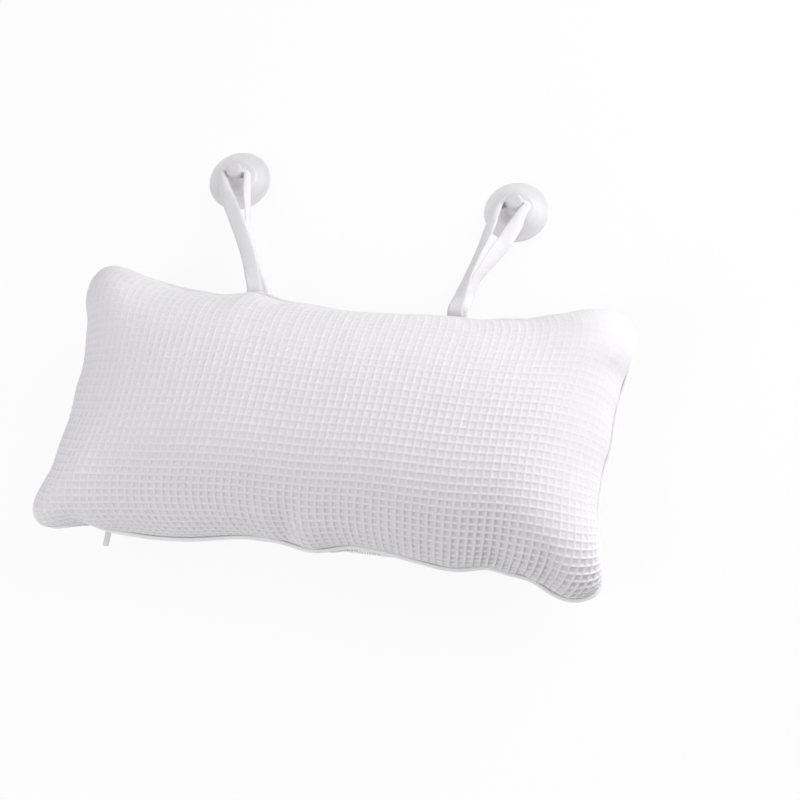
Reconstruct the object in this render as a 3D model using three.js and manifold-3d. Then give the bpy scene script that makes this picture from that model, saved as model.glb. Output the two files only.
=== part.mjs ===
// Bath pillow: a waffle cover that zips round a stuffed inner cushion, with two strapped suction cups.
// Millimetres. The pillow lies on its back on z = 0: +Z leaves the front, +Y leads to the straps.
import * as THREE from "three";
import { mergeVertices } from "three/addons/utils/BufferGeometryUtils.js";
import Module from "manifold-3d";

const wasm = await Module();
wasm.setup();

// Cover: a rectangle of cloth whose edges draw in when it is stuffed, which leaves ears at the corners.
const earSpanX = 334;
const earSpanY = 167;
const earRound = 9; // how far each ear's tip is pulled in along X and along Y
const leftDraw = 14.5; // how far an edge is drawn in halfway between its ears
const rightDraw = 10.5;
const topDraw = 14;
const bottomDraw = 11.5;
const sideDrawPower = 2.6;
const topDrawPower = 2.6;
const bottomDrawPower = 5; // a high power keeps the zip's stretch nearly straight
const seamHeight = 37;
const frontCrown = 53;
const backCrown = 43; // the back's bulge before the wall flattens it at z = 0
// Fall of the crown towards each edge: a power that keeps its middle flat, and one that rounds its edge.
const leftFall = { power: 2.8, rounding: 0.487 };
const rightFall = { power: 2.86, rounding: 0.511 };
const topFall = { power: 2.31, rounding: 0.642 };
const bottomFall = { power: 3.75, rounding: 0.784 };
const sideSwell = 4.5; // how far the stuffing pushes the cloth out over the seam
const topSwell = 0.5; // the same along the middle of the top edge
const swellReach = 0.62; // share of the crown up to which the sides swell
// Stuffing in the ears: puff is a share of the crown, swell pushes the front out over the seam.
const ears = [
  { s: -1, t: -1, puff: 0.34, swell: 6.5 },
  { s: -1, t: 1, puff: 0.24, swell: 2 },
  { s: 1, t: -1, puff: 0.16, swell: 0 },
  { s: 1, t: 1, puff: 0.23, swell: 2 },
];
const coverThickness = 2;

// Inner cushion
const linerInset = 6.5; // how much smaller than the cover the inner bag is at its edge
const linerThickness = 0.6;
const layerGap = 0.4;

// Piping
const beadRadius = 1.7;
const cordRadius = 0.75;
const cordClearance = 0.35;
const flangeWidth = 5;
const flangeThickness = 0.8;
const pipingJoint = 0.9; // gap where the two ends of the strip meet, at the lower right ear
const seatGap = 0.3;

// Zip
const zipEndInset = 35; // from an ear's tip to the zip's end
const zipLength = earSpanX - 2 * zipEndInset;
const zipTilt = 0.21; // radians, so that the tapes follow the back panel's wall
const zipInset = 2.2; // the zip's middle line inside the bottom edge
const tapeHalfSpread = 5.6;
const tapeThickness = 0.6;
const rowGap = 1.4; // between the two rows of teeth, for the slider's post
const coilWidth = 1.4;
const coilHeight = 1.3;
const stopLength = 2.4;
const stopInset = 2;
const stopCover = 0.6; // wall of a stop over its row of teeth
const sliderLength = 8;
const sliderWidth = 6.6;
const sliderPlate = 1;
const sliderInnerWidth = 5;
const sliderFlange = 0.7;
const sliderPostLength = 2;
const slideClearance = 0.3;
const barRadius = 0.6;
const lugThickness = 0.9;
const lugRadius = 0.9;
const tabLength = 11;
const tabWidth = 3.3;
const tabThickness = 0.9;
const tabEyeWall = 0.7;

// Suction cups
const cupRadius = 20;
const cupRimWidth = 2.2;
const cupRimHeight = 0.9;
const cupHollow = 4;
const cupWall = 2.4;
const knobRadius = 5.2;
const knobTop = 17.6;
const knobRound = 1.6;
const holeHeight = 12.4;
const holeRadius = 3;

// Straps: flat tape doubled into a loop, gathered where it runs through the knob.
const strapWidth = 9.5;
const strapThickness = 1.2;
const strapGathered = 4.6;
const strapChamfer = 0.35;
const strapBend = 2.6; // bend at the mouths of the knob's hole
const mouthGap = 0.6;
const rootShift = 1.6; // sideways step between the two tape ends at the seam
const rootStack = 0.8; // each tape end above or below the middle of the seam
const rootNose = 1.2; // how far the tape ends reach past their bend line, towards the piping
const leftStrap = { rootX: -61.8, cupX: -98.5, cupY: 166 };
const rightStrap = { rootX: 61.8, cupX: 81.5, cupY: 160 };

const cushionGrid = { columns: 22, rows: 12 }; // one grid for every layer, so that their facets nest
const cupSegments = 32;

const part = new THREE.Group();

const cloth = { color: 0xf2f0f2, roughness: 0.95, metalness: 0 };
const cotton = { color: 0xf4f3f4, roughness: 0.9, metalness: 0 };
const bagCloth = { color: 0xe9e8e6, roughness: 0.9, metalness: 0 };
const fibre = { color: 0xf6f5f2, roughness: 1, metalness: 0 };
const nylon = { color: 0xe8e8ea, roughness: 0.5, metalness: 0 };
const paintedMetal = { color: 0xd2d2d6, roughness: 0.4, metalness: 0.6 };
const clearVinyl = { color: 0xdde1df, roughness: 0.25, metalness: 0 };

function addPiece(name, geometry, finish, group = part) {
  const piece = new THREE.Mesh(geometry, new THREE.MeshStandardMaterial(finish));
  piece.name = name;
  group.add(piece);
  return piece;
}

function toSolid(geometry) {
  const bare = new THREE.BufferGeometry();
  bare.setAttribute("position", geometry.getAttribute("position"));
  bare.setIndex(geometry.index);
  const merged = mergeVertices(bare, 1e-4);
  return new wasm.Manifold(
    new wasm.Mesh({
      numProp: 3,
      vertProperties: new Float32Array(merged.getAttribute("position").array),
      triVerts: new Uint32Array(merged.index.array),
    }),
  );
}

function toGeometry(solid) {
  const mesh = solid.getMesh();
  const geometry = new THREE.BufferGeometry();
  geometry.setAttribute("position", new THREE.BufferAttribute(mesh.vertProperties, 3));
  geometry.setIndex(new THREE.BufferAttribute(mesh.triVerts, 1));
  geometry.computeVertexNormals();
  return geometry;
}

function meshFrom(points, triangles) {
  const geometry = new THREE.BufferGeometry();
  geometry.setFromPoints(points);
  geometry.setIndex(triangles);
  geometry.computeVertexNormals();
  return geometry;
}

// A box between two corners.
function block(low, high) {
  const size = new THREE.Vector3().subVectors(high, low);
  const middle = new THREE.Vector3().addVectors(low, high).multiplyScalar(0.5);
  return new THREE.BoxGeometry(size.x, size.y, size.z).translate(middle.x, middle.y, middle.z);
}

function rodAlongX(radius, length, sides) {
  return new THREE.CylinderGeometry(radius, radius, length, sides).rotateZ(Math.PI / 2);
}

function smoothstep(low, high, value) {
  return THREE.MathUtils.smoothstep(value, low, high);
}

// The cushion's shape. s and t run from -1 to 1 across its width and height; inset shrinks it evenly.
function planPoint(s, t, inset) {
  const halfX = earSpanX / 2 - inset;
  const halfY = earSpanY / 2 - inset;
  const edgeDraw = t > 0 ? topDraw : bottomDraw;
  const edgePower = t > 0 ? topDrawPower : bottomDrawPower;
  const acrossS = Math.abs(s);
  const acrossT = Math.abs(t);
  const sideDraw = s > 0 ? rightDraw : leftDraw;
  // These powers give each ear's round tip the same slope from both of its edges.
  const sideEarPower = (halfY - earRound + sideDraw * sideDrawPower) / earRound;
  const edgeEarPower = (halfX - earRound + edgeDraw * edgePower) / earRound;
  const sideX = halfX - sideDraw * (1 - acrossT ** sideDrawPower) - earRound * acrossT ** sideEarPower;
  const edgeY = halfY - edgeDraw * (1 - acrossS ** edgePower) - earRound * acrossS ** edgeEarPower;
  return new THREE.Vector2(s * sideX, t * edgeY);
}

// 1 at the centre, falling away on both sides.
function bump(value, centre, reach) {
  return Math.exp(-(((value - centre) / reach) ** 2));
}

function crownShare(s, t) {
  const falling = (fall, across) => Math.max(0, 1 - Math.abs(across) ** fall.power) ** fall.rounding;
  const share = falling(s > 0 ? rightFall : leftFall, s) * falling(t > 0 ? topFall : bottomFall, t);
  const rim = Math.sqrt((1 - Math.abs(s) ** 8) * (1 - Math.abs(t) ** 8));
  return ears.reduce(
    (sum, ear) => sum + ear.puff * rim * bump(s, 0.93 * ear.s, 0.17) * bump(t, 0.86 * ear.t, 0.34),
    share,
  );
}

// How far the stuffing pushes a point out over the seam. The back stays flat where the zip lies.
function swellAt(s, t, up) {
  const towards = new THREE.Vector2(Math.sign(s) * Math.abs(s) ** 7, Math.sign(t) * Math.abs(t) ** 7);
  const reach = towards.length() + 1e-6;
  const middleOfTop = smoothstep(0, 0.5, t) * (1 - smoothstep(0.6, 0.95, Math.abs(s)));
  let swell = THREE.MathUtils.lerp(sideSwell, topSwell, middleOfTop);
  if (up > 0) {
    for (const ear of ears) swell += ear.swell * bump(s, ear.s, 0.2) * bump(t, ear.t, 0.4);
  }
  swell *= Math.sin(Math.PI * Math.min(1, crownShare(s, t) / swellReach)) * Math.min(1, reach / 0.35);
  const move = towards.multiplyScalar(swell / reach);
  if (up < 0 && t < 0) move.y *= smoothstep(zipLength / earSpanX + 0.04, 0.95, Math.abs(s));
  return move;
}

// Steps from -1 to 1 that crowd towards the edges, where the cushion curves most.
function crowdedStep(index, count) {
  return Math.sin((Math.PI / 2) * ((2 * index) / count - 1));
}

function surfacePoints(grid, layer) {
  const points = [];
  for (let row = 0; row <= grid.rows; row += 1) {
    for (let column = 0; column <= grid.columns; column += 1) {
      const s = crowdedStep(column, grid.columns);
      const t = crowdedStep(row, grid.rows);
      const plan = planPoint(s, t, layer.inset).add(swellAt(s, t, layer.up));
      points.push(new THREE.Vector3(plan.x, plan.y, layer.heightAt(crownShare(s, t))));
    }
  }
  return points;
}

// Two triangles a cell, seen from +Z, with every diagonal running towards the nearest ear.
function surfaceTriangles(grid, offset, facingUp) {
  const triangles = [];
  const stride = grid.columns + 1;
  for (let row = 0; row < grid.rows; row += 1) {
    for (let column = 0; column < grid.columns; column += 1) {
      const a = offset + row * stride + column;
      const b = a + 1;
      const c = b + stride;
      const d = a + stride;
      const rising = column < grid.columns / 2 === row < grid.rows / 2;
      const faces = rising ? [a, b, c, a, c, d] : [a, b, d, b, c, d];
      triangles.push(...(facingUp ? faces : faces.reverse()));
    }
  }
  return triangles;
}

// The grid's border, anticlockwise seen from +Z.
function borderLoop(grid) {
  const stride = grid.columns + 1;
  const loop = [];
  for (let column = 0; column < grid.columns; column += 1) loop.push(column);
  for (let row = 0; row < grid.rows; row += 1) loop.push(row * stride + grid.columns);
  for (let column = grid.columns; column > 0; column -= 1) loop.push(grid.rows * stride + column);
  for (let row = grid.rows; row > 0; row -= 1) loop.push(row * stride);
  return loop;
}

// A cloth half: an outer and an inner surface joined along the rim. up is 1 for the front, -1 for the back.
function clothHalf(grid, outer, inner) {
  const up = outer.up;
  const points = [...surfacePoints(grid, outer), ...surfacePoints(grid, inner)];
  const count = points.length / 2;
  const triangles = [
    ...surfaceTriangles(grid, 0, up > 0),
    ...surfaceTriangles(grid, count, up < 0),
  ];
  const loop = borderLoop(grid);
  loop.forEach((here, index) => {
    const next = loop[(index + 1) % loop.length];
    const strip = [here, here + count, next + count, here, next + count, next];
    triangles.push(...(up > 0 ? strip : strip.reverse()));
  });
  return meshFrom(points, triangles);
}

const rimGap = flangeThickness / 2 + seatGap; // each cover half stops this far from the seam plane

function frontLayer(depth, edgeInset, rim) {
  return {
    up: 1,
    inset: edgeInset,
    heightAt: (share) => seamHeight + rim + (frontCrown - depth - rim) * share,
  };
}

function backLayer(depth, edgeInset, rim) {
  return {
    up: -1,
    inset: edgeInset,
    heightAt: (share) => Math.max(depth, seamHeight - rim - (backCrown - depth - rim) * share),
  };
}

const linerDepth = coverThickness + layerGap;
const linerEdge = coverThickness + linerInset;
const fillDepth = linerDepth + linerThickness + layerGap;
const fillEdge = linerEdge + linerThickness + layerGap;

const frontCover = clothHalf(
  cushionGrid,
  frontLayer(0, 0, rimGap),
  frontLayer(coverThickness, coverThickness, rimGap),
);
const backCover = clothHalf(
  cushionGrid,
  backLayer(0, 0, rimGap),
  backLayer(coverThickness, coverThickness, rimGap),
);
const frontLiner = clothHalf(
  cushionGrid,
  frontLayer(linerDepth, linerEdge, layerGap / 2),
  frontLayer(linerDepth + linerThickness, linerEdge + linerThickness, layerGap / 2),
);
const backLiner = clothHalf(
  cushionGrid,
  backLayer(linerDepth, linerEdge, layerGap / 2),
  backLayer(linerDepth + linerThickness, linerEdge + linerThickness, layerGap / 2),
);

function fillSolid() {
  const front = frontLayer(fillDepth, fillEdge, 0);
  const back = backLayer(fillDepth, fillEdge, 0);
  const points = [
    ...surfacePoints(cushionGrid, front),
    ...surfacePoints(cushionGrid, back),
  ];
  const triangles = [
    ...surfaceTriangles(cushionGrid, 0, true),
    ...surfaceTriangles(cushionGrid, points.length / 2, false),
  ];
  return toGeometry(toSolid(meshFrom(points, triangles)));
}

// The zip's frame: its X runs along the zip, its -Y leaves the pillow and its Z crosses the tapes.
const bottomEdgeY = planPoint(0, -1, 0).y;
const zipTop = tapeHalfSpread * Math.cos(zipTilt) + (tapeThickness / 2) * Math.sin(zipTilt);
const zipZ = seamHeight - flangeThickness / 2 - seatGap - zipTop;
const zip = new THREE.Group();
zip.position.set(0, bottomEdgeY + zipInset, zipZ);
zip.rotation.x = zipTilt;
part.add(zip);

// The back panel leaves a slot for the zip, from its rim to the lower tape's edge.
const zipSlot = block(
  new THREE.Vector3(-zipLength / 2 - seatGap, -earSpanY, zipZ - zipTop - seatGap),
  new THREE.Vector3(zipLength / 2 + seatGap, bottomEdgeY + zipInset + tapeHalfSpread, seamHeight),
);
const slottedBack = toGeometry(toSolid(backCover).subtract(toSolid(zipSlot)));

addPiece("front_panel", frontCover, cloth);
addPiece("back_panel", slottedBack, cloth);
addPiece("liner_front", frontLiner, bagCloth);
addPiece("liner_back", backLiner, bagCloth);
addPiece("fibre_fill", fillSolid(), fibre);

// A solid swept through stations. Each has a place, two axes and an outline, and may have a bore.
function sweep(stations) {
  const points = [];
  const triangles = [];
  const place = (station, spot) => {
    const point = station.at.clone();
    point.addScaledVector(station.across, spot.x);
    point.addScaledVector(station.up, spot.y);
    return points.push(point) - 1;
  };
  const loopsAt = stations.map((station) =>
    [station.outline, ...(station.bores ?? [])].map((loop) => loop.map((spot) => place(station, spot))),
  );
  for (let index = 0; index + 1 < stations.length; index += 1) {
    loopsAt[index].forEach((loop, which) => {
      const ahead = loopsAt[index + 1][which];
      loop.forEach((a, k) => {
        const next = (k + 1) % loop.length;
        triangles.push(a, loop[next], ahead[next], a, ahead[next], ahead[k]);
      });
    });
  }
  const first = stations[0];
  const caps = THREE.ShapeUtils.triangulateShape(first.outline, first.bores ?? []);
  const startIndices = loopsAt[0].flat();
  const endIndices = loopsAt[stations.length - 1].flat();
  caps.forEach(([a, b, c]) => {
    triangles.push(startIndices[c], startIndices[b], startIndices[a]);
    triangles.push(endIndices[a], endIndices[b], endIndices[c]);
  });
  return meshFrom(points, triangles);
}

function ringPoints(radius, count, centreX, turn) {
  return Array.from({ length: count }, (unused, index) => {
    const angle = (turn * 2 * Math.PI * index) / count;
    return new THREE.Vector2(centreX + radius * Math.cos(angle), radius * Math.sin(angle));
  });
}

// The seam line, clockwise seen from the front, from the lower right ear round to it again.
function seamLine() {
  const longSteps = 16;
  const shortSteps = 11;
  const line = [];
  for (let i = 0; i < longSteps; i += 1) line.push(planPoint(-crowdedStep(i, longSteps), -1, 0));
  for (let i = 0; i < shortSteps; i += 1) line.push(planPoint(-1, crowdedStep(i, shortSteps), 0));
  for (let i = 0; i < longSteps; i += 1) line.push(planPoint(crowdedStep(i, longSteps), 1, 0));
  for (let i = 0; i <= shortSteps; i += 1) line.push(planPoint(1, -crowdedStep(i, shortSteps), 0));
  return line;
}

const beadCentre = beadRadius + seatGap; // outside the cover's edge

function pipingStations(outline, bores) {
  const line = seamLine();
  const last = line.length - 1;
  const stations = line.map((spot, index) => {
    const before = line[index === 0 ? last - 1 : index - 1];
    const after = line[index === last ? 1 : index + 1];
    const along = new THREE.Vector2().subVectors(after, before).normalize();
    return {
      at: new THREE.Vector3(spot.x, spot.y, seamHeight),
      across: new THREE.Vector3(-along.y, along.x, 0),
      up: new THREE.Vector3(0, 0, 1),
      outline,
      bores,
    };
  });
  const trim = (end, inner) => {
    const step = new THREE.Vector3().subVectors(inner.at, end.at);
    end.at.addScaledVector(step.normalize(), pipingJoint / 2);
  };
  trim(stations[0], stations[1]);
  trim(stations[last], stations[last - 1]);
  return stations;
}

function pipingOutline() {
  const beadSides = 8;
  const neck = Math.asin(flangeThickness / 2 / beadRadius);
  const outline = [new THREE.Vector2(-flangeWidth, -flangeThickness / 2)];
  for (let index = 0; index <= beadSides; index += 1) {
    const angle = -Math.PI + neck + ((2 * Math.PI - 2 * neck) * index) / beadSides;
    outline.push(
      new THREE.Vector2(beadCentre + beadRadius * Math.cos(angle), beadRadius * Math.sin(angle)),
    );
  }
  outline.push(new THREE.Vector2(-flangeWidth, flangeThickness / 2));
  return outline;
}

const cordSides = 6;
const cordBore = ringPoints(cordRadius + cordClearance, cordSides, beadCentre, -1);
const cordOutline = ringPoints(cordRadius, cordSides, beadCentre, 1);
addPiece("piping_cover", sweep(pipingStations(pipingOutline(), [cordBore])), cotton);
addPiece("piping_cord", sweep(pipingStations(cordOutline)), cotton);

// Zip tapes, teeth and stops. side is 1 for the front half and -1 for the back half.
const rowInner = rowGap / 2;
const rowOuter = rowInner + coilWidth;
const coilNear = -tapeThickness / 2 - seatGap;
const coilFar = coilNear - coilHeight;

function acrossTape(side, inner, outer) {
  return side > 0 ? [inner, outer] : [-outer, -inner];
}

const rowStart = -zipLength / 2 + stopInset + stopLength + seatGap;
const rowEnd = zipLength / 2 - stopInset - stopLength - seatGap;

[1, -1].forEach((side) => {
  const half = side > 0 ? "front" : "back";
  const [tapeLow, tapeHigh] = acrossTape(side, rowInner, tapeHalfSpread);
  const tape = block(
    new THREE.Vector3(-zipLength / 2, -tapeThickness / 2, tapeLow),
    new THREE.Vector3(zipLength / 2, tapeThickness / 2, tapeHigh),
  );
  addPiece(`zip_tape_${half}`, tape, cotton, zip);

  const [coilLow, coilHigh] = acrossTape(side, rowInner, rowOuter);
  const coil = block(
    new THREE.Vector3(rowStart, coilFar, coilLow),
    new THREE.Vector3(rowEnd, coilNear, coilHigh),
  );
  addPiece(`zip_coil_${half}`, coil, nylon, zip);

  const [stopLow, stopHigh] = acrossTape(side, rowInner, rowOuter + stopCover);
  const topStop = block(
    new THREE.Vector3(rowStart - seatGap - stopLength, coilFar - stopCover, stopLow),
    new THREE.Vector3(rowStart - seatGap, coilNear, stopHigh),
  );
  addPiece(`zip_top_stop_${half}`, topStop, paintedMetal, zip);
});

const bottomStop = block(
  new THREE.Vector3(rowEnd + seatGap, coilFar - stopCover, -rowOuter - stopCover),
  new THREE.Vector3(rowEnd + seatGap + stopLength, coilNear, rowOuter + stopCover),
);
addPiece("zip_bottom_stop", bottomStop, paintedMetal, zip);

// Slider: two plates joined by a post between the rows, with two lugs and a bar for the tab's eye.
const plateNear = coilFar - slideClearance;
const plateFar = plateNear - sliderPlate;
const innerNear = tapeThickness / 2 + slideClearance;
const innerFar = innerNear + sliderPlate;
const postWidth = rowGap - 2 * slideClearance;
const eyeRadius = barRadius + slideClearance + tabEyeWall;
const barY = plateFar - slideClearance - eyeRadius;
const lugInner = tabWidth / 2 + slideClearance;
const sliderX = rowStart + slideClearance + sliderLength / 2;

function lug(side) {
  const outline = new THREE.Shape();
  outline.moveTo(-lugRadius, 0);
  outline.lineTo(lugRadius, 0);
  outline.absarc(0, plateFar + sliderPlate / 2 - barY, lugRadius, 0, Math.PI, false);
  const plate = new THREE.ExtrudeGeometry(outline, {
    depth: lugThickness,
    bevelEnabled: false,
    curveSegments: 8,
  });
  // The outline's x crosses the tapes, its y stands out of the slider and its depth runs along the zip.
  const axes = new THREE.Matrix4().makeBasis(
    new THREE.Vector3(0, 0, 1),
    new THREE.Vector3(0, -1, 0),
    new THREE.Vector3(1, 0, 0),
  );
  plate.applyMatrix4(axes);
  const start = side > 0 ? lugInner : -lugInner - lugThickness;
  return plate.translate(start, plateFar + sliderPlate / 2, 0);
}

function sliderSolid() {
  const half = sliderLength / 2;
  const outerPlate = block(
    new THREE.Vector3(-half, plateFar, -sliderWidth / 2),
    new THREE.Vector3(half, plateNear, sliderWidth / 2),
  );
  const innerPlate = block(
    new THREE.Vector3(-half, innerNear, -sliderInnerWidth / 2),
    new THREE.Vector3(half, innerFar, sliderInnerWidth / 2),
  );
  const post = block(
    new THREE.Vector3(-half, plateFar + sliderPlate / 2, -postWidth / 2),
    new THREE.Vector3(-half + sliderPostLength, innerNear + sliderPlate / 2, postWidth / 2),
  );
  const flanges = [1, -1].map((side) => {
    const [low, high] = acrossTape(side, sliderWidth / 2 - sliderFlange, sliderWidth / 2);
    return block(
      new THREE.Vector3(-half, plateFar + sliderPlate / 2, low),
      new THREE.Vector3(half, coilNear, high),
    );
  });
  const bar = rodAlongX(barRadius, 2 * lugInner + lugThickness, 10).translate(0, barY, 0);
  const pieces = [innerPlate, post, ...flanges, lug(1), lug(-1), bar];
  return pieces.reduce((whole, piece) => whole.add(toSolid(piece)), toSolid(outerPlate));
}

const slider = addPiece("zip_slider", toGeometry(sliderSolid()), paintedMetal, zip);
slider.position.x = sliderX;

// Pull tab: a leaf with a rolled eye round the slider's bar, pointing away from the pillow.
function pullTab() {
  const outline = new THREE.Shape();
  const meet = Math.asin(tabThickness / 2 / eyeRadius);
  outline.moveTo(tabLength, -tabThickness / 2);
  outline.lineTo(tabLength, tabThickness / 2);
  outline.absarc(0, 0, eyeRadius, meet, 2 * Math.PI - meet, false);
  outline.closePath();
  const eye = new THREE.Path();
  eye.absarc(0, 0, barRadius + slideClearance, 0, 2 * Math.PI, true);
  outline.holes.push(eye);
  const leaf = new THREE.ExtrudeGeometry(outline, {
    depth: tabWidth,
    bevelEnabled: false,
    curveSegments: 14,
  });
  const axes = new THREE.Matrix4().makeBasis(
    new THREE.Vector3(0, -1, 0),
    new THREE.Vector3(0, 0, -1),
    new THREE.Vector3(1, 0, 0),
  );
  return leaf.translate(0, 0, -tabWidth / 2).applyMatrix4(axes);
}

zip.updateMatrixWorld(true);
const barPlace = zip.localToWorld(new THREE.Vector3(sliderX, barY, 0));
const tab = addPiece("zip_pull_tab", pullTab(), paintedMetal);
tab.position.copy(barPlace);

// Suction cup: a thin flared disc with a flat rim, a shallow hollow and a knob with a cross hole.
function suctionCup() {
  const domeTop = cupHollow + cupWall;
  const profile = [
    [0, cupHollow],
    [cupRadius * 0.24, cupHollow * 0.95],
    [cupRadius * 0.52, cupHollow * 0.7],
    [cupRadius * 0.74, cupHollow * 0.34],
    [cupRadius - cupRimWidth, 0],
    [cupRadius, 0],
    [cupRadius, cupRimHeight],
    [cupRadius - cupRimWidth, cupRimHeight + 0.5],
    [cupRadius * 0.72, cupHollow * 0.36 + cupWall * 0.75],
    [cupRadius * 0.5, cupHollow * 0.72 + cupWall * 0.9],
    [knobRadius + knobRound, domeTop],
    [knobRadius + knobRound * 0.3, domeTop + knobRound * 0.3],
    [knobRadius, domeTop + knobRound],
    [knobRadius, knobTop - knobRound],
    [knobRadius - knobRound * 0.3, knobTop - knobRound * 0.3],
    [knobRadius - knobRound, knobTop],
    [0, knobTop],
  ];
  const turned = new THREE.LatheGeometry(
    profile.map(([radius, height]) => new THREE.Vector2(radius, height)),
    cupSegments,
  );
  turned.rotateX(Math.PI / 2);
  const hole = rodAlongX(holeRadius, 4 * knobRadius, 18).translate(0, 0, holeHeight);
  return toGeometry(toSolid(turned).subtract(toSolid(hole)));
}

function addCup(name, strap) {
  const cup = addPiece(name, suctionCup(), clearVinyl);
  cup.position.set(strap.cupX, strap.cupY, 0);
}

addCup("suction_cup_left", leftStrap);
addCup("suction_cup_right", rightStrap);

// Tape outline with chamfered edges.
function tapeOutline(width, thickness) {
  const x = width / 2;
  const y = thickness / 2;
  const cut = Math.min(strapChamfer, thickness / 3);
  return [
    new THREE.Vector2(-x + cut, -y),
    new THREE.Vector2(x - cut, -y),
    new THREE.Vector2(x, -y + cut),
    new THREE.Vector2(x, y - cut),
    new THREE.Vector2(x - cut, y),
    new THREE.Vector2(-x + cut, y),
    new THREE.Vector2(-x, y - cut),
    new THREE.Vector2(-x, -y + cut),
  ];
}

// The tape bends on a line along X just outside the piping.
const rootRadius = rootStack + strapThickness / 2;

function bendLineY(strap) {
  const reach = Math.abs(strap.rootX) + rootShift + strapWidth / 2;
  const edge = planPoint(reach / planPoint(1, 1, 0).x, 1, 0);
  return edge.y + beadCentre + beadRadius + seatGap + rootRadius;
}

function strapLoop(strap) {
  const hole = new THREE.Vector3(strap.cupX, strap.cupY, holeHeight);
  const root = new THREE.Vector3(strap.rootX, bendLineY(strap), seamHeight);
  const along = new THREE.Vector3().subVectors(root, hole).normalize();
  const sideways = new THREE.Vector3(1, 0, 0);
  const bendAxis = new THREE.Vector3().crossVectors(sideways, along).normalize();
  const mouth = knobRadius + mouthGap;
  const tapeArea = strapWidth * strapThickness;

  // Knots from the hole's middle out to one end of the tape. run is 0 at the knob and 1 at the seam.
  const legKnots = (side) => {
    const knots = [
      { at: hole.clone().setX(hole.x + side * mouth), run: 0 },
      { at: hole.clone().add(new THREE.Vector3(side * (mouth + 0.75 * strapBend), -0.3 * strapBend, 0)), run: 0 },
    ];
    const legStart = hole.clone().add(new THREE.Vector3(side * (mouth + strapBend), -1.2 * strapBend, 0));
    const legEnd = root.clone().setX(root.x + side * rootShift);
    for (let run = 0; run <= 1.001; run += 0.125) {
      const at = new THREE.Vector3().lerpVectors(legStart, legEnd, run);
      at.z += side * rootStack * smoothstep(0.3, 0.7, run);
      knots.push({ at, run });
    }
    return knots;
  };
  const knots = [
    ...legKnots(-1).reverse(),
    { at: hole, run: 0 },
    ...legKnots(1),
  ];
  const curve = new THREE.CatmullRomCurve3(knots.map((knot) => knot.at), false, "centripetal");

  const steps = 2 * (knots.length - 1);
  const middle = steps / 2;
  const stations = [];
  for (let index = 0; index <= steps; index += 1) {
    const share = index / steps;
    const knot = share * (knots.length - 1);
    const low = knots[Math.floor(knot)].run;
    const high = knots[Math.ceil(knot)].run;
    const run = THREE.MathUtils.lerp(low, high, knot - Math.floor(knot));
    const tangent = curve.getTangent(share);
    const flat = sideways.clone().addScaledVector(tangent, -sideways.dot(tangent));
    const across = new THREE.Vector3();
    if (run === 0) {
      across.copy(bendAxis);
    } else {
      flat.normalize().lerp(sideways, smoothstep(0.6, 1, run)).normalize();
      const upright = new THREE.Vector3().crossVectors(tangent, flat).multiplyScalar(index < middle ? 1 : -1);
      const twist = (Math.PI / 2) * (1 - smoothstep(0, 0.7, run));
      across.addScaledVector(flat, Math.cos(twist)).addScaledVector(upright, Math.sin(twist));
    }
    const up = new THREE.Vector3().crossVectors(tangent, across).normalize();
    const width = THREE.MathUtils.lerp(strapGathered, strapWidth, smoothstep(0, 0.7, run));
    stations.push({ at: curve.getPoint(share), across, up, outline: tapeOutline(width, tapeArea / width) });
  }

  // Each tape end runs on past the bend line and thins, so that it can turn beside the piping.
  const noseHeight = Math.sqrt(rootRadius ** 2 - rootNose ** 2);
  const noseThickness = noseHeight - (rootStack - strapThickness / 2);
  const nose = (side) => ({
    at: new THREE.Vector3(
      root.x + side * rootShift,
      root.y - rootNose,
      root.z + side * (noseHeight - noseThickness / 2),
    ),
    across: sideways,
    up: new THREE.Vector3(0, 0, 1),
    outline: tapeOutline(strapWidth, noseThickness),
  });
  const leftNose = nose(-1);
  leftNose.up.set(0, 0, -1);
  return sweep([leftNose, ...stations, nose(1)]);
}

addPiece("strap_left", strapLoop(leftStrap), cotton);
addPiece("strap_right", strapLoop(rightStrap), cotton);

export default part;
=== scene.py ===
import math

import bmesh
import bpy
import numpy as np
from mathutils import Matrix, Vector


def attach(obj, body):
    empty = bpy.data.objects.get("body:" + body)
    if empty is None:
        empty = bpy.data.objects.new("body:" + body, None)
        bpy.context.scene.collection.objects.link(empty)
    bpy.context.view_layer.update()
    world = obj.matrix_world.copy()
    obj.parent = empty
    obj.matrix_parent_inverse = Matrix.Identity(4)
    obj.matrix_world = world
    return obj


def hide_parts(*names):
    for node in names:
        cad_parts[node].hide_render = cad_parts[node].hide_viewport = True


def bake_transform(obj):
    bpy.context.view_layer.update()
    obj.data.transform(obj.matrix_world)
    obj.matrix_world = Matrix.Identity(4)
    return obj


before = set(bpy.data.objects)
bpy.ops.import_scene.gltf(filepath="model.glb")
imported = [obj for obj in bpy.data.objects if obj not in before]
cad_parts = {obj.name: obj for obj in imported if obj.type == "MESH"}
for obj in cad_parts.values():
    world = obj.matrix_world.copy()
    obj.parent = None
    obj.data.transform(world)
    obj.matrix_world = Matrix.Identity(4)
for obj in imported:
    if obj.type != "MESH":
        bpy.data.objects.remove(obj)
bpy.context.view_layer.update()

# Bath pillow lying on its back: +Y leads to the straps and +Z leaves the front. Shapes are worked out in mm.
mm = 0.001
xAxis, zAxis = np.array([1.0, 0, 0]), np.array([0, 0, 1.0])
edgeNames = ("left", "right", "top", "bottom")
scene = bpy.context.scene
scene.view_settings.view_transform = "Standard"


def linkObject(name, data):
    holder = bpy.data.objects.new(name, data)
    scene.collection.objects.link(holder)
    return holder


def addPiece(name, mesh, material=None):
    if material:
        mesh.materials.clear()
        mesh.materials.append(material)
    return linkObject(name, mesh)


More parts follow.
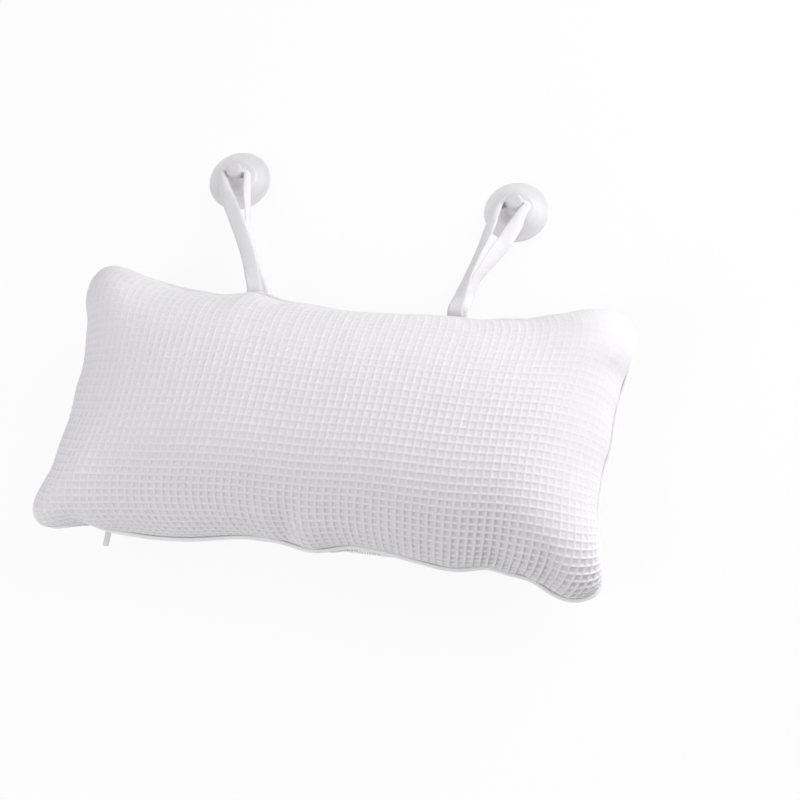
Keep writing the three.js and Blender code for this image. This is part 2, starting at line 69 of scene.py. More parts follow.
# Ties a piece to its body and hides the solid that it replaces
def tie(piece, body, node):
    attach(piece, body)
    if node:
        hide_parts(node)


def smoothFaces(mesh, smooth=True):
    mesh.polygons.foreach_set("use_smooth", [smooth] * len(mesh.polygons))
    return mesh


def meshFrom(name, pointsMm, faces, smooth=True):
    mesh = bpy.data.meshes.new(name)
    mesh.from_pydata((np.asarray(pointsMm, float) * mm).tolist(), [], [list(map(int, face)) for face in faces])
    smoothFaces(mesh, smooth)
    mesh.update()
    return mesh


# Writes a bmesh into a mesh and lets the bmesh go
def meshOf(work, mesh):
    work.to_mesh(mesh)
    work.free()
    return smoothFaces(mesh)


def smoothStep(low, high, value):
    share = np.clip((np.asarray(value, float) - low) / (high - low), 0, 1)
    return share * share * (3 - 2 * share)


def bump(value, centre, reach):
    return np.exp(-(((np.asarray(value, float) - centre) / reach) ** 2))


def lengthAlong(line):
    return np.concatenate([[0], np.cumsum(np.linalg.norm(np.diff(line, axis=0), axis=1))])


def readLine(places, length, line):
    return np.stack([np.interp(places, length, line[:, axis]) for axis in range(3)], -1)


def gridQuads(index):
    return np.stack([index[:-1, :-1], index[:-1, 1:], index[1:, 1:], index[1:, :-1]], -1).reshape(-1, 4)


# Faces of two grids of points, the second one below the first, that are closed round their borders
def closedFaces(rows, columns):
    index = np.arange(rows * columns).reshape(rows, columns)
    quads = gridQuads(index)
    loop = np.concatenate([index[0, :-1], index[:-1, -1], index[-1, :0:-1], index[:0:-1, 0]])
    ahead = np.roll(loop, -1)
    edge = np.stack([loop + index.size, ahead + index.size, ahead, loop], -1)
    return np.concatenate([quads, quads[:, ::-1] + index.size, edge])


# Nodes: a socket as a value makes a link, anything else is typed into the field.
def addNode(tree, kind, settings=None, inputs=None):
    made = tree.nodes.new(kind)
    for name, value in (settings or {}).items():
        setattr(made, name, value)
    for name, value in (inputs or {}).items():
        if isinstance(value, bpy.types.NodeSocket):
            tree.links.new(value, made.inputs[name])
        else:
            made.inputs[name].default_value = value
    return made


def outOf(tree, kind, settings=None, inputs=None):
    return addNode(tree, kind, settings, inputs).outputs[0]


def calc(tree, operation, *values):
    return outOf(tree, "ShaderNodeMath", {"operation": operation}, dict(enumerate(values)))


def vectorCalc(tree, operation, first, second):
    field = "Scale" if operation == "SCALE" else 1
    return outOf(tree, "ShaderNodeVectorMath", {"operation": operation}, {0: first, field: second})


def noiseOf(tree, place, scale, detail, distortion=0.0):
    fields = {"Vector": place, "Scale": scale, "Detail": detail, "Distortion": distortion}
    return outOf(tree, "ShaderNodeTexNoise", None, fields)


# Sockets are named with their kind, and inputs with a default too
def makeTree(kind, name, inputs, outputs):
    tree = bpy.data.node_groups.new(name, kind)
    for socketName, socketKind, default in inputs:
        socket = tree.interface.new_socket(name=socketName, in_out="INPUT", socket_type="NodeSocket" + socketKind)
        if default is not None:
            socket.default_value = default
    for socketName, socketKind in outputs:
        tree.interface.new_socket(name=socketName, in_out="OUTPUT", socket_type="NodeSocket" + socketKind)
    return tree, addNode(tree, "NodeGroupInput").outputs, addNode(tree, "NodeGroupOutput")


def emptyTree(owner):
    owner.use_nodes = True
    owner.node_tree.nodes.clear()
    return owner.node_tree


# Puts a node tree on an object, sets its inputs by their names and makes the result a plain mesh.
def growMesh(base, tree, values):
    holder = linkObject(base.name + "Base", base)
    modifier = holder.modifiers.new("grow", "NODES")
    modifier.node_group = tree
    for item in tree.interface.items_tree:
        if item.item_type == "SOCKET" and item.in_out == "INPUT" and item.name in values:
            modifier[item.identifier] = values[item.name]
    graph = bpy.context.evaluated_depsgraph_get()
    grown = bpy.data.meshes.new_from_object(holder.evaluated_get(graph), preserve_all_data_layers=True, depsgraph=graph)
    bpy.data.objects.remove(holder)
    return smoothFaces(grown)


# Camera, floor and light
cameraPlace = {
    "eye": (0.2179, -0.2576, 0.9078),
    "right": (0.9754, 0.1592, -0.1527),
    "down": (0.1034, -0.9414, -0.3209),
    "lens": 72.7,
    "sensor": 36,
}
lighting = {
    "white": (1, 1, 1, 1),
    "skyLevel": 0.40,
    "floorColour": (0.88, 0.88, 0.88, 1),
    "floorShadow": 0.12,  # how much of the floor's own shading the camera sees
    "floorReach": 6000,
    "floorLevel": -0.4,
    "lampSize": 0.8,
    "lamps": {  # place and watts
        "key": ((0.888, 0.888, 0.376), 8.7),
        "side": ((1.256, 0.0, 0.376), 3.1),
        "top": ((0.65, 0.65, 0.959), 4.4),
        "fill": ((-0.65, -0.65, 0.959), 7.4),
    },
}


def placeCamera():
    camera = bpy.data.cameras.new("camera")
    camera.lens = cameraPlace["lens"]
    camera.sensor_width = cameraPlace["sensor"]
    scene.camera = linkObject("camera", camera)
    right = Vector(cameraPlace["right"]).normalized()
    back = right.cross(-Vector(cameraPlace["down"])).normalized()
    turn = Matrix((right, back.cross(right), back)).transposed().to_4x4()
    scene.camera.matrix_world = Matrix.Translation(cameraPlace["eye"]) @ turn


# 1 where the ray comes from the camera, a mirror or glass
def seenRay(tree):
    path = addNode(tree, "ShaderNodeLightPath").outputs
    mirrored = calc(tree, "MAXIMUM", path["Is Glossy Ray"], path["Is Transmission Ray"])
    return calc(tree, "MAXIMUM", path["Is Camera Ray"], mirrored)


def mixShaders(tree, share, first, second):
    return outOf(tree, "ShaderNodeMixShader", None, {0: share, 1: first, 2: second})


def layFloor():
    material = bpy.data.materials.new("paleFloor")
    tree = emptyTree(material)
    matt = outOf(tree, "ShaderNodeBsdfDiffuse", None, {"Color": lighting["floorColour"]})
    white = outOf(tree, "ShaderNodeEmission", None, {"Color": lighting["white"], "Strength": 1.0})
    veil = calc(tree, "MULTIPLY", seenRay(tree), 1 - lighting["floorShadow"])
    above = mixShaders(tree, veil, matt, white)
    under = addNode(tree, "ShaderNodeNewGeometry").outputs["Backfacing"]
    sided = mixShaders(tree, under, above, outOf(tree, "ShaderNodeBsdfTransparent"))
    addNode(tree, "ShaderNodeOutputMaterial", None, {"Surface": sided})
    reach, level = lighting["floorReach"], lighting["floorLevel"]
    corners = [(x * reach, y * reach, level) for x, y in ((-1, -1), (1, -1), (1, 1), (-1, 1))]
    addPiece("floor", meshFrom("floor", corners, [(0, 1, 2, 3)], False), material)


def lightScene():
    scene.world = bpy.data.worlds.new("studio")
    tree = emptyTree(scene.world)
    dim, white = [
        outOf(tree, "ShaderNodeBackground", None, {"Color": lighting["white"], "Strength": level})
        for level in (lighting["skyLevel"], 1.0)
    ]
    addNode(tree, "ShaderNodeOutputWorld", None, {"Surface": mixShaders(tree, seenRay(tree), dim, white)})
    for name, (place, watts) in lighting["lamps"].items():
        lamp = bpy.data.lights.new(name, "AREA")
        lamp.size = lighting["lampSize"]
        lamp.energy = watts
        turn = (-Vector(place)).to_track_quat("-Z", "Y").to_matrix().to_4x4()
        linkObject(name, lamp).matrix_world = Matrix.Translation(place) @ turn


placeCamera()
layFloor()
lightScene()
print("stage: camera, floor and lamps are in place")


# Shading that the pieces share
weaveLook = {"fuzzScale": 0.35, "fuzz": 0.5, "shadeSpan": 0.10, "shadeLow": 0.88}


# Crossing threads: Repeat 2 is a plain weave, 4 a twill.
def makeThreadWeave():
    tree, given, out = makeTree(
        "ShaderNodeTree",
        "threadWeave",
        [("Place", "Vector", None), ("Threads", "Float", 10.0), ("Repeat", "Float", 2.0)],
        [("Height", "Float"), ("Shade", "Float")],
    )
    scaled = vectorCalc(tree, "SCALE", given["Place"], given["Threads"])
    fuzz = noiseOf(tree, scaled, weaveLook["fuzzScale"], 2.0)
    axes = addNode(tree, "ShaderNodeSeparateXYZ", None, {0: scaled}).outputs
    warp, weft = [
        calc(tree, "ABSOLUTE", calc(tree, "SINE", calc(tree, "MULTIPLY", axes[axis], math.pi))) for axis in ("X", "Y")
    ]
    step = calc(tree, "ADD", calc(tree, "FLOOR", axes["X"]), calc(tree, "FLOOR", axes["Y"]))
    turn = calc(tree, "FLOORED_MODULO", step, given["Repeat"])
    onTop = calc(tree, "LESS_THAN", turn, calc(tree, "MULTIPLY", given["Repeat"], 0.5))
    weftTop = calc(tree, "MULTIPLY", weft, calc(tree, "SUBTRACT", 1.0, onTop))
    threads = calc(tree, "ADD", calc(tree, "MULTIPLY", warp, onTop), weftTop)
    height = calc(tree, "MULTIPLY_ADD", fuzz, weaveLook["fuzz"], threads)
    shade = calc(tree, "MULTIPLY_ADD", height, weaveLook["shadeSpan"], weaveLook["shadeLow"])
    tree.links.new(height, out.inputs["Height"])
    tree.links.new(shade, out.inputs["Shade"])
    return tree


# Slow changes of tone over a whole piece
def makeHandledTone():
    tree, given, out = makeTree(
        "ShaderNodeTree",
        "handledTone",
        [("Place", "Vector", None), ("Patches", "Float", 14.0), ("Spread", "Float", 0.06)],
        [("Tone", "Float"), ("Patch", "Float")],
    )
    noise = noiseOf(tree, given["Place"], given["Patches"], 3.0)
    tone = calc(tree, "MULTIPLY_ADD", calc(tree, "SUBTRACT", noise, 0.5), given["Spread"], 1.0)
    tree.links.new(tone, out.inputs["Tone"])
    tree.links.new(noise, out.inputs["Patch"])
    return tree


threadWeave = makeThreadWeave()
handledTone = makeHandledTone()


def useGroup(tree, group, inputs):
    return addNode(tree, "ShaderNodeGroup", {"node_tree": group}, inputs).outputs


def startMaterial(name, constants):
    material = bpy.data.materials.new(name)
    material.use_nodes = True
    tree = material.node_tree
    shader = next(item for item in tree.nodes if item.type == "BSDF_PRINCIPLED")
    for socketName, value in constants.items():
        shader.inputs[socketName].default_value = value
    return material, tree, shader


def objectPlace(tree):
    return addNode(tree, "ShaderNodeTexCoord").outputs["Object"]


# Links a colour, shaded by some shares, a bump in mm and, where given, a roughness
def feedShader(tree, shader, colour, shares, height, strength, distance, roughness=None):
    shade = shares[0]
    for share in shares[1:]:
        shade = calc(tree, "MULTIPLY", shade, share)
    tree.links.new(vectorCalc(tree, "SCALE", colour, shade), shader.inputs["Base Color"])
    lift = outOf(tree, "ShaderNodeBump", None, {"Strength": strength, "Distance": distance * mm, "Height": height})
    tree.links.new(lift, shader.inputs["Normal"])
    if roughness is not None:
        tree.links.new(roughness, shader.inputs["Roughness"])


# A woven cloth that reads threads from the piece's own UV map, in mm.
def wovenCloth(name, look):
    material, tree, shader = startMaterial(
        name,
        {
            "Roughness": look["roughness"],
            "Sheen Weight": look["sheen"],
            "Sheen Roughness": 0.5,
            "Specular IOR Level": 0.25,
        },
    )
    flat = outOf(tree, "ShaderNodeUVMap", {"uv_map": "weave"})
    turn = (0, 0, math.radians(look["bias"]))
    place = outOf(tree, "ShaderNodeMapping", None, {"Vector": flat, "Rotation": turn})
    weave = useGroup(tree, threadWeave, {"Place": place, "Threads": look["threads"], "Repeat": look["repeat"]})
    tone = useGroup(tree, handledTone, {"Place": objectPlace(tree), "Patches": 22.0, "Spread": look["spread"]})
    shares = (weave["Shade"], tone["Tone"])
    feedShader(tree, shader, look["colour"], shares, weave["Height"], look["bump"], look["lift"])
    return material


# Weights that read a natural cubic spline through evenly spaced knots
def splineWeights(count, places):
    system = np.eye(count)
    bends = np.zeros((count, count))
    for knot in range(1, count - 1):
        system[knot, knot - 1 : knot + 2] = (1, 4, 1)
        bends[knot, knot - 1 : knot + 2] = (6, -12, 6)
    bends = np.linalg.solve(system, bends)
    low = np.clip(np.floor(places).astype(int), 0, count - 2)
    after = (places - low)[:, None]
    before = 1 - after
    whole = np.eye(count)
    line = before * whole[low] + after * whole[low + 1]
    return line + (before**3 - before) / 6 * bends[low] + (after**3 - after) / 6 * bends[low + 1]


# Cushion: its plan, and a well stuffed crown whose cloth swells out over the seam
cushion = {
    "earSpanX": 334.0,
    "earSpanY": 167.0,
    "earRound": 9.0,
    "sideDraw": 9.5,
    "topDraw": 14.0,
    "bottomDraw": 11.5,
    "sidePower": 2.0,
    "topPower": 2.6,
    "bottomPower": 5.0,
    "seamHeight": 37.0,
    "topSeamLift": 4.5,
    "liftStart": 0.2,  # the t from which the seam lifts, and the s at which it stops before the ears
    "liftStop": 0.8,
    "frontCrown": 53.4,
    "backCrown": 43.0,
    # fall of the crown towards each edge: a power that keeps its middle flat, and one that rounds its edge
    "fall": {"left": (2.8, 0.487), "right": (2.86, 0.511), "top": (2.31, 0.642), "bottom": (3.75, 0.784)},
    "moveReach": 5.0,  # how fast the moves of the sewn edge below fade inwards
    "rimGap": 0.7,
    "swell": 4.5,
    "swellTop": 0.5,  # along the middle of the top edge
    "swellReach": 0.62,  # share of the crown up to which the sides swell
    "swellPower": 7,  # keeps the swell near the edges
    "swellStart": 0.35,
    # ears: stuffing pushed into the corners, as a share of the crown, with its place and reach in s and t
    "earPuff": {(-1, -1): 0.34, (-1, 1): 0.24, (1, -1): 0.16, (1, 1): 0.23},
    "puffPlace": (0.93, 0.86),
    "puffReach": (0.17, 0.34),
    "puffRim": 8,  # how close to the edge it goes
    "earSwell": {(-1, -1): 7.0, (-1, 1): 2.0, (1, 1): 2.0},
    "earSwellReach": (0.2, 0.4),
    # moves of the sewn edge outwards, in mm at even steps from left to right and from bottom to top
    "left": [-0.1, -6.4, -10.2, -8.8, -6.1, -5.4, -4.8, -4.3, -5.5, -5.6, -5.2, -5.5, -3.8, -3.3, -0.1],
    "right": [2.7, -1.0, -3.5, -3.8, -3.6, -2.8, -1.7, 0.3, 1.0, 0.5, 0.4, 1.1, 1.3, 1.9, 3.6],
    "top": [
        0.2, 1.1, -0.6, -1.5, -2.1, -2.4, -2.1, -1.8, 1.0, 3.2, 0.9, -0.4, -0.8, -1.8, -2.3, -2.0, -1.6, -1.2, -0.7,
        -0.8, -1.3, -2.0, -1.1, -1.1, 0.4, 1.4, 2.3, 2.4, 0.4,
    ],
    "bottom": [
        3.0, -1.6, -3.7, 0.5, 3.0, 4.3, 4.8, 4.5, 3.4, 1.4, -0.6, -1.7, -1.6, 0.1, 1.7, -0.3, -3.3, -3.0, -2.0, -0.4,
        1.1, 2.0, 0.3, -2.4, -1.3, -1.0, 2.8, 4.6, 2.9,
    ],
}
finePlaces = np.linspace(-1, 1, 801)
edgeTables = {}
for edge in edgeNames:
    knots = np.array(cushion[edge])
    edgeTables[edge] = splineWeights(len(knots), (finePlaces + 1) / 2 * (len(knots) - 1)) @ knots


def edgeMove(edge, places):
    return np.interp(places, finePlaces, edgeTables[edge])


def outlineReach(s, t, inset):
    halfX = cushion["earSpanX"] / 2 - inset
    halfY = cushion["earSpanY"] / 2 - inset
    earRound = cushion["earRound"]
    draw = np.where(t > 0, cushion["topDraw"], cushion["bottomDraw"])
    power = np.where(t > 0, cushion["topPower"], cushion["bottomPower"])
    acrossS, acrossT = np.abs(s), np.abs(t)
    sideEar = (halfY - earRound + cushion["sideDraw"] * cushion["sidePower"]) / earRound
    edgeEar = (halfX - earRound + draw * power) / earRound
    sideX = halfX - cushion["sideDraw"] * (1 - acrossT ** cushion["sidePower"]) - earRound * acrossT**sideEar
    edgeY = halfY - draw * (1 - acrossS**power) - earRound * acrossS**edgeEar
    fade = cushion["moveReach"]
    sideX = sideX + acrossS**fade * np.where(s > 0, edgeMove("right", t), edgeMove("left", t))
    edgeY = edgeY + acrossT**fade * np.where(t > 0, edgeMove("top", s), edgeMove("bottom", s))
    return sideX, edgeY


def crownShare(s, t):
    def falling(edge, across):
        power, rounding = cushion["fall"][edge]
        return np.clip(1 - np.abs(across) ** power, 0, None) ** rounding

    alongX = np.where(s > 0, falling("right", s), falling("left", s))
    share = alongX * np.where(t > 0, falling("top", t), falling("bottom", t))
    power = cushion["puffRim"]
    rim = np.sqrt(np.clip((1 - np.abs(s) ** power) * (1 - np.abs(t) ** power), 0, None))
    (placeS, placeT), (reachS, reachT) = cushion["puffPlace"], cushion["puffReach"]
    for (earS, earT), puff in cushion["earPuff"].items():
        share = share + puff * rim * bump(s, placeS * earS, reachS) * bump(t, placeT * earT, reachT)
    return share


def seamLevel(s, t):
    lift = smoothStep(cushion["liftStart"], 1, t) * (1 - smoothStep(cushion["liftStop"], 1, np.abs(s)))
    return cushion["seamHeight"] + cushion["topSeamLift"] * lift


# A place on the cushion's skin, or on a layer inset from its edge and below its crown
def cushionPoint(s, t, up, inset=0.0, depth=0.0, rim=cushion["rimGap"]):
    s, t = np.asarray(s, float), np.asarray(t, float)
    sideX, edgeY = outlineReach(s, t, inset)
    share = crownShare(s, t)
    level = seamLevel(s, t)
    towardsX, towardsY = [np.sign(way) * np.abs(way) ** cushion["swellPower"] for way in (s, t)]
    reach = np.sqrt(towardsX**2 + towardsY**2) + 1e-6
    middleOfTop = smoothStep(0, 0.5, t) * (1 - smoothStep(0.6, 0.95, np.abs(s)))
    swell = cushion["swell"] + (cushion["swellTop"] - cushion["swell"]) * middleOfTop
    reachS, reachT = cushion["earSwellReach"]
    for (earS, earT), more in cushion["earSwell"].items():
        swell = swell + max(up, 0) * more * bump(s, earS, reachS) * bump(t, earT, reachT)
    swell = swell * np.sin(np.pi * np.clip(share / cushion["swellReach"], 0, 1))
    swell = swell * np.clip(reach / cushion["swellStart"], 0, 1) / reach
    if up > 0:
        top = cushion["seamHeight"] + cushion["frontCrown"] - depth
        z = level + rim + (top - level - rim) * share
    else:
        bottom = cushion["seamHeight"] - cushion["backCrown"] + depth
        z = np.maximum(depth, level - rim + (bottom - level + rim) * share)
    return np.stack([s * sideX + swell * towardsX, t * edgeY + swell * towardsY, z], -1)


straps = {
    "left": {
        "root": -61.8,
        "cup": (-98.5, 166.0),
        "legs": {  # share of the way to the seam, offset from the straight line, lift, twist in degrees
            -1: [
                (0.0, -8.4, 0, 90), (0.08, -9.2, 0, 55), (0.17, -8.8, 0, 33), (0.27, -6.9, 0.2, 26),
                (0.44, -4.0, 0.7, 26), (0.57, -1.9, 1.0, 25), (0.73, -0.1, 1.0, 21), (0.87, 0.1, 1.0, 12),
                (0.98, 0.1, 1.0, 3),
            ],
            1: [
                (0.0, 7.8, 0, 90), (0.08, 6.9, 0, 80), (0.15, 6.0, -0.3, 74), (0.27, 4.5, -1.2, 79),
                (0.40, 2.7, -2.4, 80), (0.50, 0.8, -3.0, 52), (0.60, -0.2, -2.4, 20), (0.75, 0.2, -1.4, 4),
                (0.88, 2.0, -1.0, 0), (0.98, 3.4, -1.0, 0),
            ],
        },
    },
    "right": {
        "root": 61.8,
        "cup": (81.5, 160.0),
        "legs": {
            -1: [
                (0.0, -8.4, 0, 90), (0.09, -8.6, 0, 58), (0.22, -7.8, 0, 36), (0.33, -6.5, 0.3, 40),
                (0.42, -6.0, 0.6, 44), (0.56, -5.6, 1.0, 50), (0.72, -4.8, 1.0, 47), (0.87, -3.4, 1.0, 32),
                (0.98, -2.0, 1.0, 8),
            ],
            1: [
                (0.0, 8.0, 0, 90), (0.06, 7.6, 0, 62), (0.16, 6.9, 0, 18), (0.35, 5.4, -0.6, 12),
                (0.46, 3.5, -1.0, 50), (0.59, 1.3, -1.4, 72), (0.70, 0.0, -1.8, 80), (0.84, -0.2, -1.8, 66),
                (0.98, 0.3, -1.0, 8),
            ],
        },
    },
}


# Points of one edge of the seam, evenly spaced, and their s or t; left to right and bottom to top
def seamEdge(edge, count):
    fine = np.linspace(-1, 1, 3001)
    side = np.full_like(fine, 1.0 if edge in ("top", "right") else -1.0)
    s, t = (fine, side) if edge in ("top", "bottom") else (side, fine)
    sideX, edgeY = outlineReach(s, t, 0.0)
    line = np.stack([s * sideX, t * edgeY, seamLevel(s, t)], -1)
    length = lengthAlong(line)
    even = np.interp(np.linspace(0, length[-1], count + 1), length, fine)
    return readLine(even, fine, line), even


# Cover panels: waffle cloth sewn along the edge with a little fullness, and pressed out by the stuffing
cover = {
    "columns": 83,  # waffle cells
    "rows": 44,
    "cell": 4.38,  # in mm
    "evenings": 6,
    "spreadRounds": 120,
    "springiness": 0.8,
    "gain": 0.2,
    "longestMove": 0.01,
    "steadying": 20,
    "creases": [  # from and to in cells, depth in mm, width in cells
        ((41, 12), (38, -1), 1.5, 1.3),
        ((72, 9), (75.5, -1), 1.4, 1.2),
        ((64, 6), (71, 1.5), 1.1, 1.2),
        ((12, 9), (9, -1), 1.4, 1.4),
        ((74, 30), (82, 33), 0.9, 1.3),
    ],
    "creaseLip": (0.35, 2.2),  # height of the lips beside a crease as a share of its depth, and their place in widths
    "fullness": 0.012,  # the cloth is cut this much larger than the seam holds
    "frames": 22,
    "drawFrames": 9,  # frames in which the edges are drawn in to the seam
    "simScale": 0.01,
    "cloth": {
        "quality": 6,
        "mass": 0.05,
        "tension_stiffness": 25.0,
        "compression_stiffness": 12.0,
        "shear_stiffness": 8.0,
        "bending_stiffness": 1.5,
        "tension_damping": 15,
        "compression_damping": 15,
        "shear_damping": 15,
        "bending_damping": 2,
        "air_damping": 6,
        "vertex_group_mass": "seam",
        "use_pressure": True,
        "uniform_pressure_force": 5.0,
    },
    "evenRounds": 40,
    "keepBroad": 0.04,  # how much of the settling's broad change of form stays
    "foldRounds": 3,
    "keepFolds": 0.7,  # and how much of its folds
    "cap": 2.2,  # the most that settling may move the cloth, in mm
    "thickness": 1.6,
    "restRound": 1.2,  # softness of the flat patch's border, where the back lies on the floor
    "restLevel": 0.45,  # middle of the relief on that patch
    "zipRise": 0.118,  # share of the back's height that the zip takes
    "edgeBlend": 0.16,
    "strapDip": 2.4,
    "strapDipReach": 8.0,
}
zipper = {
    "length": 264.0,
    "middle": (0.0, -69.8, 30.76),
    "tilt": 0.21,
    "halfSpread": 5.6,
    "slotEase": 7.0,  # length over which the back's edge drops to the zip
    "rowGap": 1.4,
    "coilWidth": 1.4,
    "coilHeight": 1.3,
    "tapeThickness": 0.6,
    "tapeStations": 133,
    "seatGap": 0.3,
    "tooth": (0.85, 0.28),  # length and rounding
    "toothPitch": 1.5,
    "rowStart": -126.3,
    "rowEnd": 126.4,
    "stitchPitch": 2.4,
    "stitch": (1.7, 0.408, 0.34, 0.12),  # length, width, height, rounding
    "stitchSpread": 0.06,
    "stitchInset": 1.0,
    "stitchMargin": 3,
    "stopRounding": 0.3,
    "sliderRounding": 0.18,
    "tabRounding": 0.16,
    "finishes": {  # colour, roughness, spread of tone
        "zipNylon": ((0.80, 0.80, 0.81), 0.42, 0.08),
        "paintedMetal": ((0.74, 0.735, 0.745), 0.38, 0.10),
        "sewingThread": ((0.84, 0.84, 0.84), 0.7, 0.06),
    },
    "cloth": {
        "colour": (0.86, 0.86, 0.865), "roughness": 0.75, "sheen": 0.08, "bias": 0, "threads": 2.2, "repeat": 4.0,
        "spread": 0.04, "bump": 0.4, "lift": 0.15,
    },
}


def zipPoint(x, y, z):
    turn = zipper["tilt"]
    x, y, z = np.broadcast_arrays(*[np.asarray(value, float) for value in (x, y, z)])
    out = y * math.cos(turn) - z * math.sin(turn)
    up = y * math.sin(turn) + z * math.cos(turn)
    return np.stack([x, out, up], -1) + np.array(zipper["middle"])


# How much of the bottom edge's place at x belongs to the zip
def zipShare(x):
    half = zipper["length"] / 2
    return 1 - smoothStep(half - 1, half + zipper["slotEase"], np.abs(x))


# A place on a panel; a and b run from -1 to 1, crowded at the edges. The back drops to the zip and under the straps.
def panelPoint(a, b, up):
    s = np.sin(np.pi / 2 * np.clip(a, -1, 1))
    b = np.clip(b, -1, 1)
    if up > 0:
        return cushionPoint(s, np.sin(np.pi / 2 * b), up)
    lift = cover["zipRise"] * zipShare(s * (cushion["earSpanX"] / 2 - cushion["sideDraw"]))
    t = np.sin(np.pi / 2 * (1 - (1 - b) * (2 - lift) / 2))
    place = cushionPoint(s, t, up)
    border = cushionPoint(s, np.sin(np.pi / 2 * (lift - 1)), up)
    drop = zipShare(border[..., 0])[..., None] * (zipPoint(border[..., 0], 0.0, -zipper["halfSpread"]) - border)
    place = place + drop * (1 - smoothStep(-1, cover["edgeBlend"] - 1, b))[..., None]
    atTop = smoothStep(1 - cover["edgeBlend"], 1, b)
    for strap in straps.values():
        place[..., 2] -= cover["strapDip"] * atTop * bump(place[..., 0], strap["root"], cover["strapDipReach"])
    return place


# Spaces the waffle cells over a panel's form as springs of one cell's length would; the border slides on the seam
def spreadCells(up):
    columns, rows = cover["columns"], cover["rows"]
    a, b = np.meshgrid(np.linspace(-1, 1, columns + 1), np.linspace(-1, 1, rows + 1))
    for edge, border in (("bottom", 0), ("top", -1)):
        a[border, :] = 2 / np.pi * np.arcsin(np.clip(seamEdge(edge, columns)[1], -1, 1))
    for edge, border in (("left", 0), ("right", -1)):
        b[:, border] = 2 / np.pi * np.arcsin(np.clip(seamEdge(edge, rows)[1], -1, 1))
    shareU, shareV = np.linspace(0, 1, columns + 1)[None, :], np.linspace(0, 1, rows + 1)[:, None]
    a[1:-1] = a[:1] + shareV[1:-1] * (a[-1:] - a[:1])
    b[:, 1:-1] = b[:, :1] + shareU[:, 1:-1] * (b[:, -1:] - b[:, :1])
    for turned in (True, False) * cover["evenings"]:
        grid = panelPoint(a, b, up)
        grid, *tables = [values.swapaxes(0, 1) if turned else values for values in (grid, a, b)]
        for index, line in enumerate(grid):
            length = lengthAlong(line)
            even = np.linspace(0, length[-1], len(length))
            for values in tables:
                values[index] = np.interp(even, length, values[index].copy())
    step, longest = 0.001, cover["longestMove"]
    for unused in range(cover["spreadRounds"]):
        grid = panelPoint(a, b, up)
        pull = np.zeros_like(grid)
        for ahead, behind in ((np.s_[1:, :], np.s_[:-1, :]), (np.s_[:, 1:], np.s_[:, :-1])):
            gap = grid[ahead] - grid[behind]
            tension = gap * (1 - cover["springiness"] * cover["cell"] / np.linalg.norm(gap, axis=-1, keepdims=True))
            pull[behind] += tension
            pull[ahead] -= tension
        alongA = (panelPoint(a + step, b, up) - panelPoint(a - step, b, up)) / (2 * step)
        alongB = (panelPoint(a, b + step, up) - panelPoint(a, b - step, up)) / (2 * step)
        aa, ab, bb = (alongA**2).sum(-1), (alongA * alongB).sum(-1), (alongB**2).sum(-1)
        aa, bb = aa + cover["steadying"], bb + cover["steadying"]
        pullA, pullB = (alongA * pull).sum(-1), (alongB * pull).sum(-1)
        size = aa * bb - ab**2
        moveA, moveB = (pullA * bb - pullB * ab) / size, (pullB * aa - pullA * ab) / size
        moveA[[0, -1]], moveB[:, [0, -1]] = (pullA / aa)[[0, -1]], (pullB / bb)[:, [0, -1]]
        moveA[:, [0, -1]] = 0
        moveB[[0, -1]] = 0
        a = np.clip(a + np.clip(cover["gain"] * moveA, -longest, longest), -1, 1)
        b = np.clip(b + np.clip(cover["gain"] * moveB, -longest, longest), -1, 1)
    return panelPoint(a, b, up)


# Takes out what changes from cell to cell and leaves the border alone
def evenOut(values, rounds):
    values = values.copy()
    for unused in range(rounds):
        near = (values[:-2, 1:-1] + values[2:, 1:-1] + values[1:-1, :-2] + values[1:-1, 2:]) / 4
        values[1:-1, 1:-1] = 0.5 * values[1:-1, 1:-1] + 0.5 * near
    return values


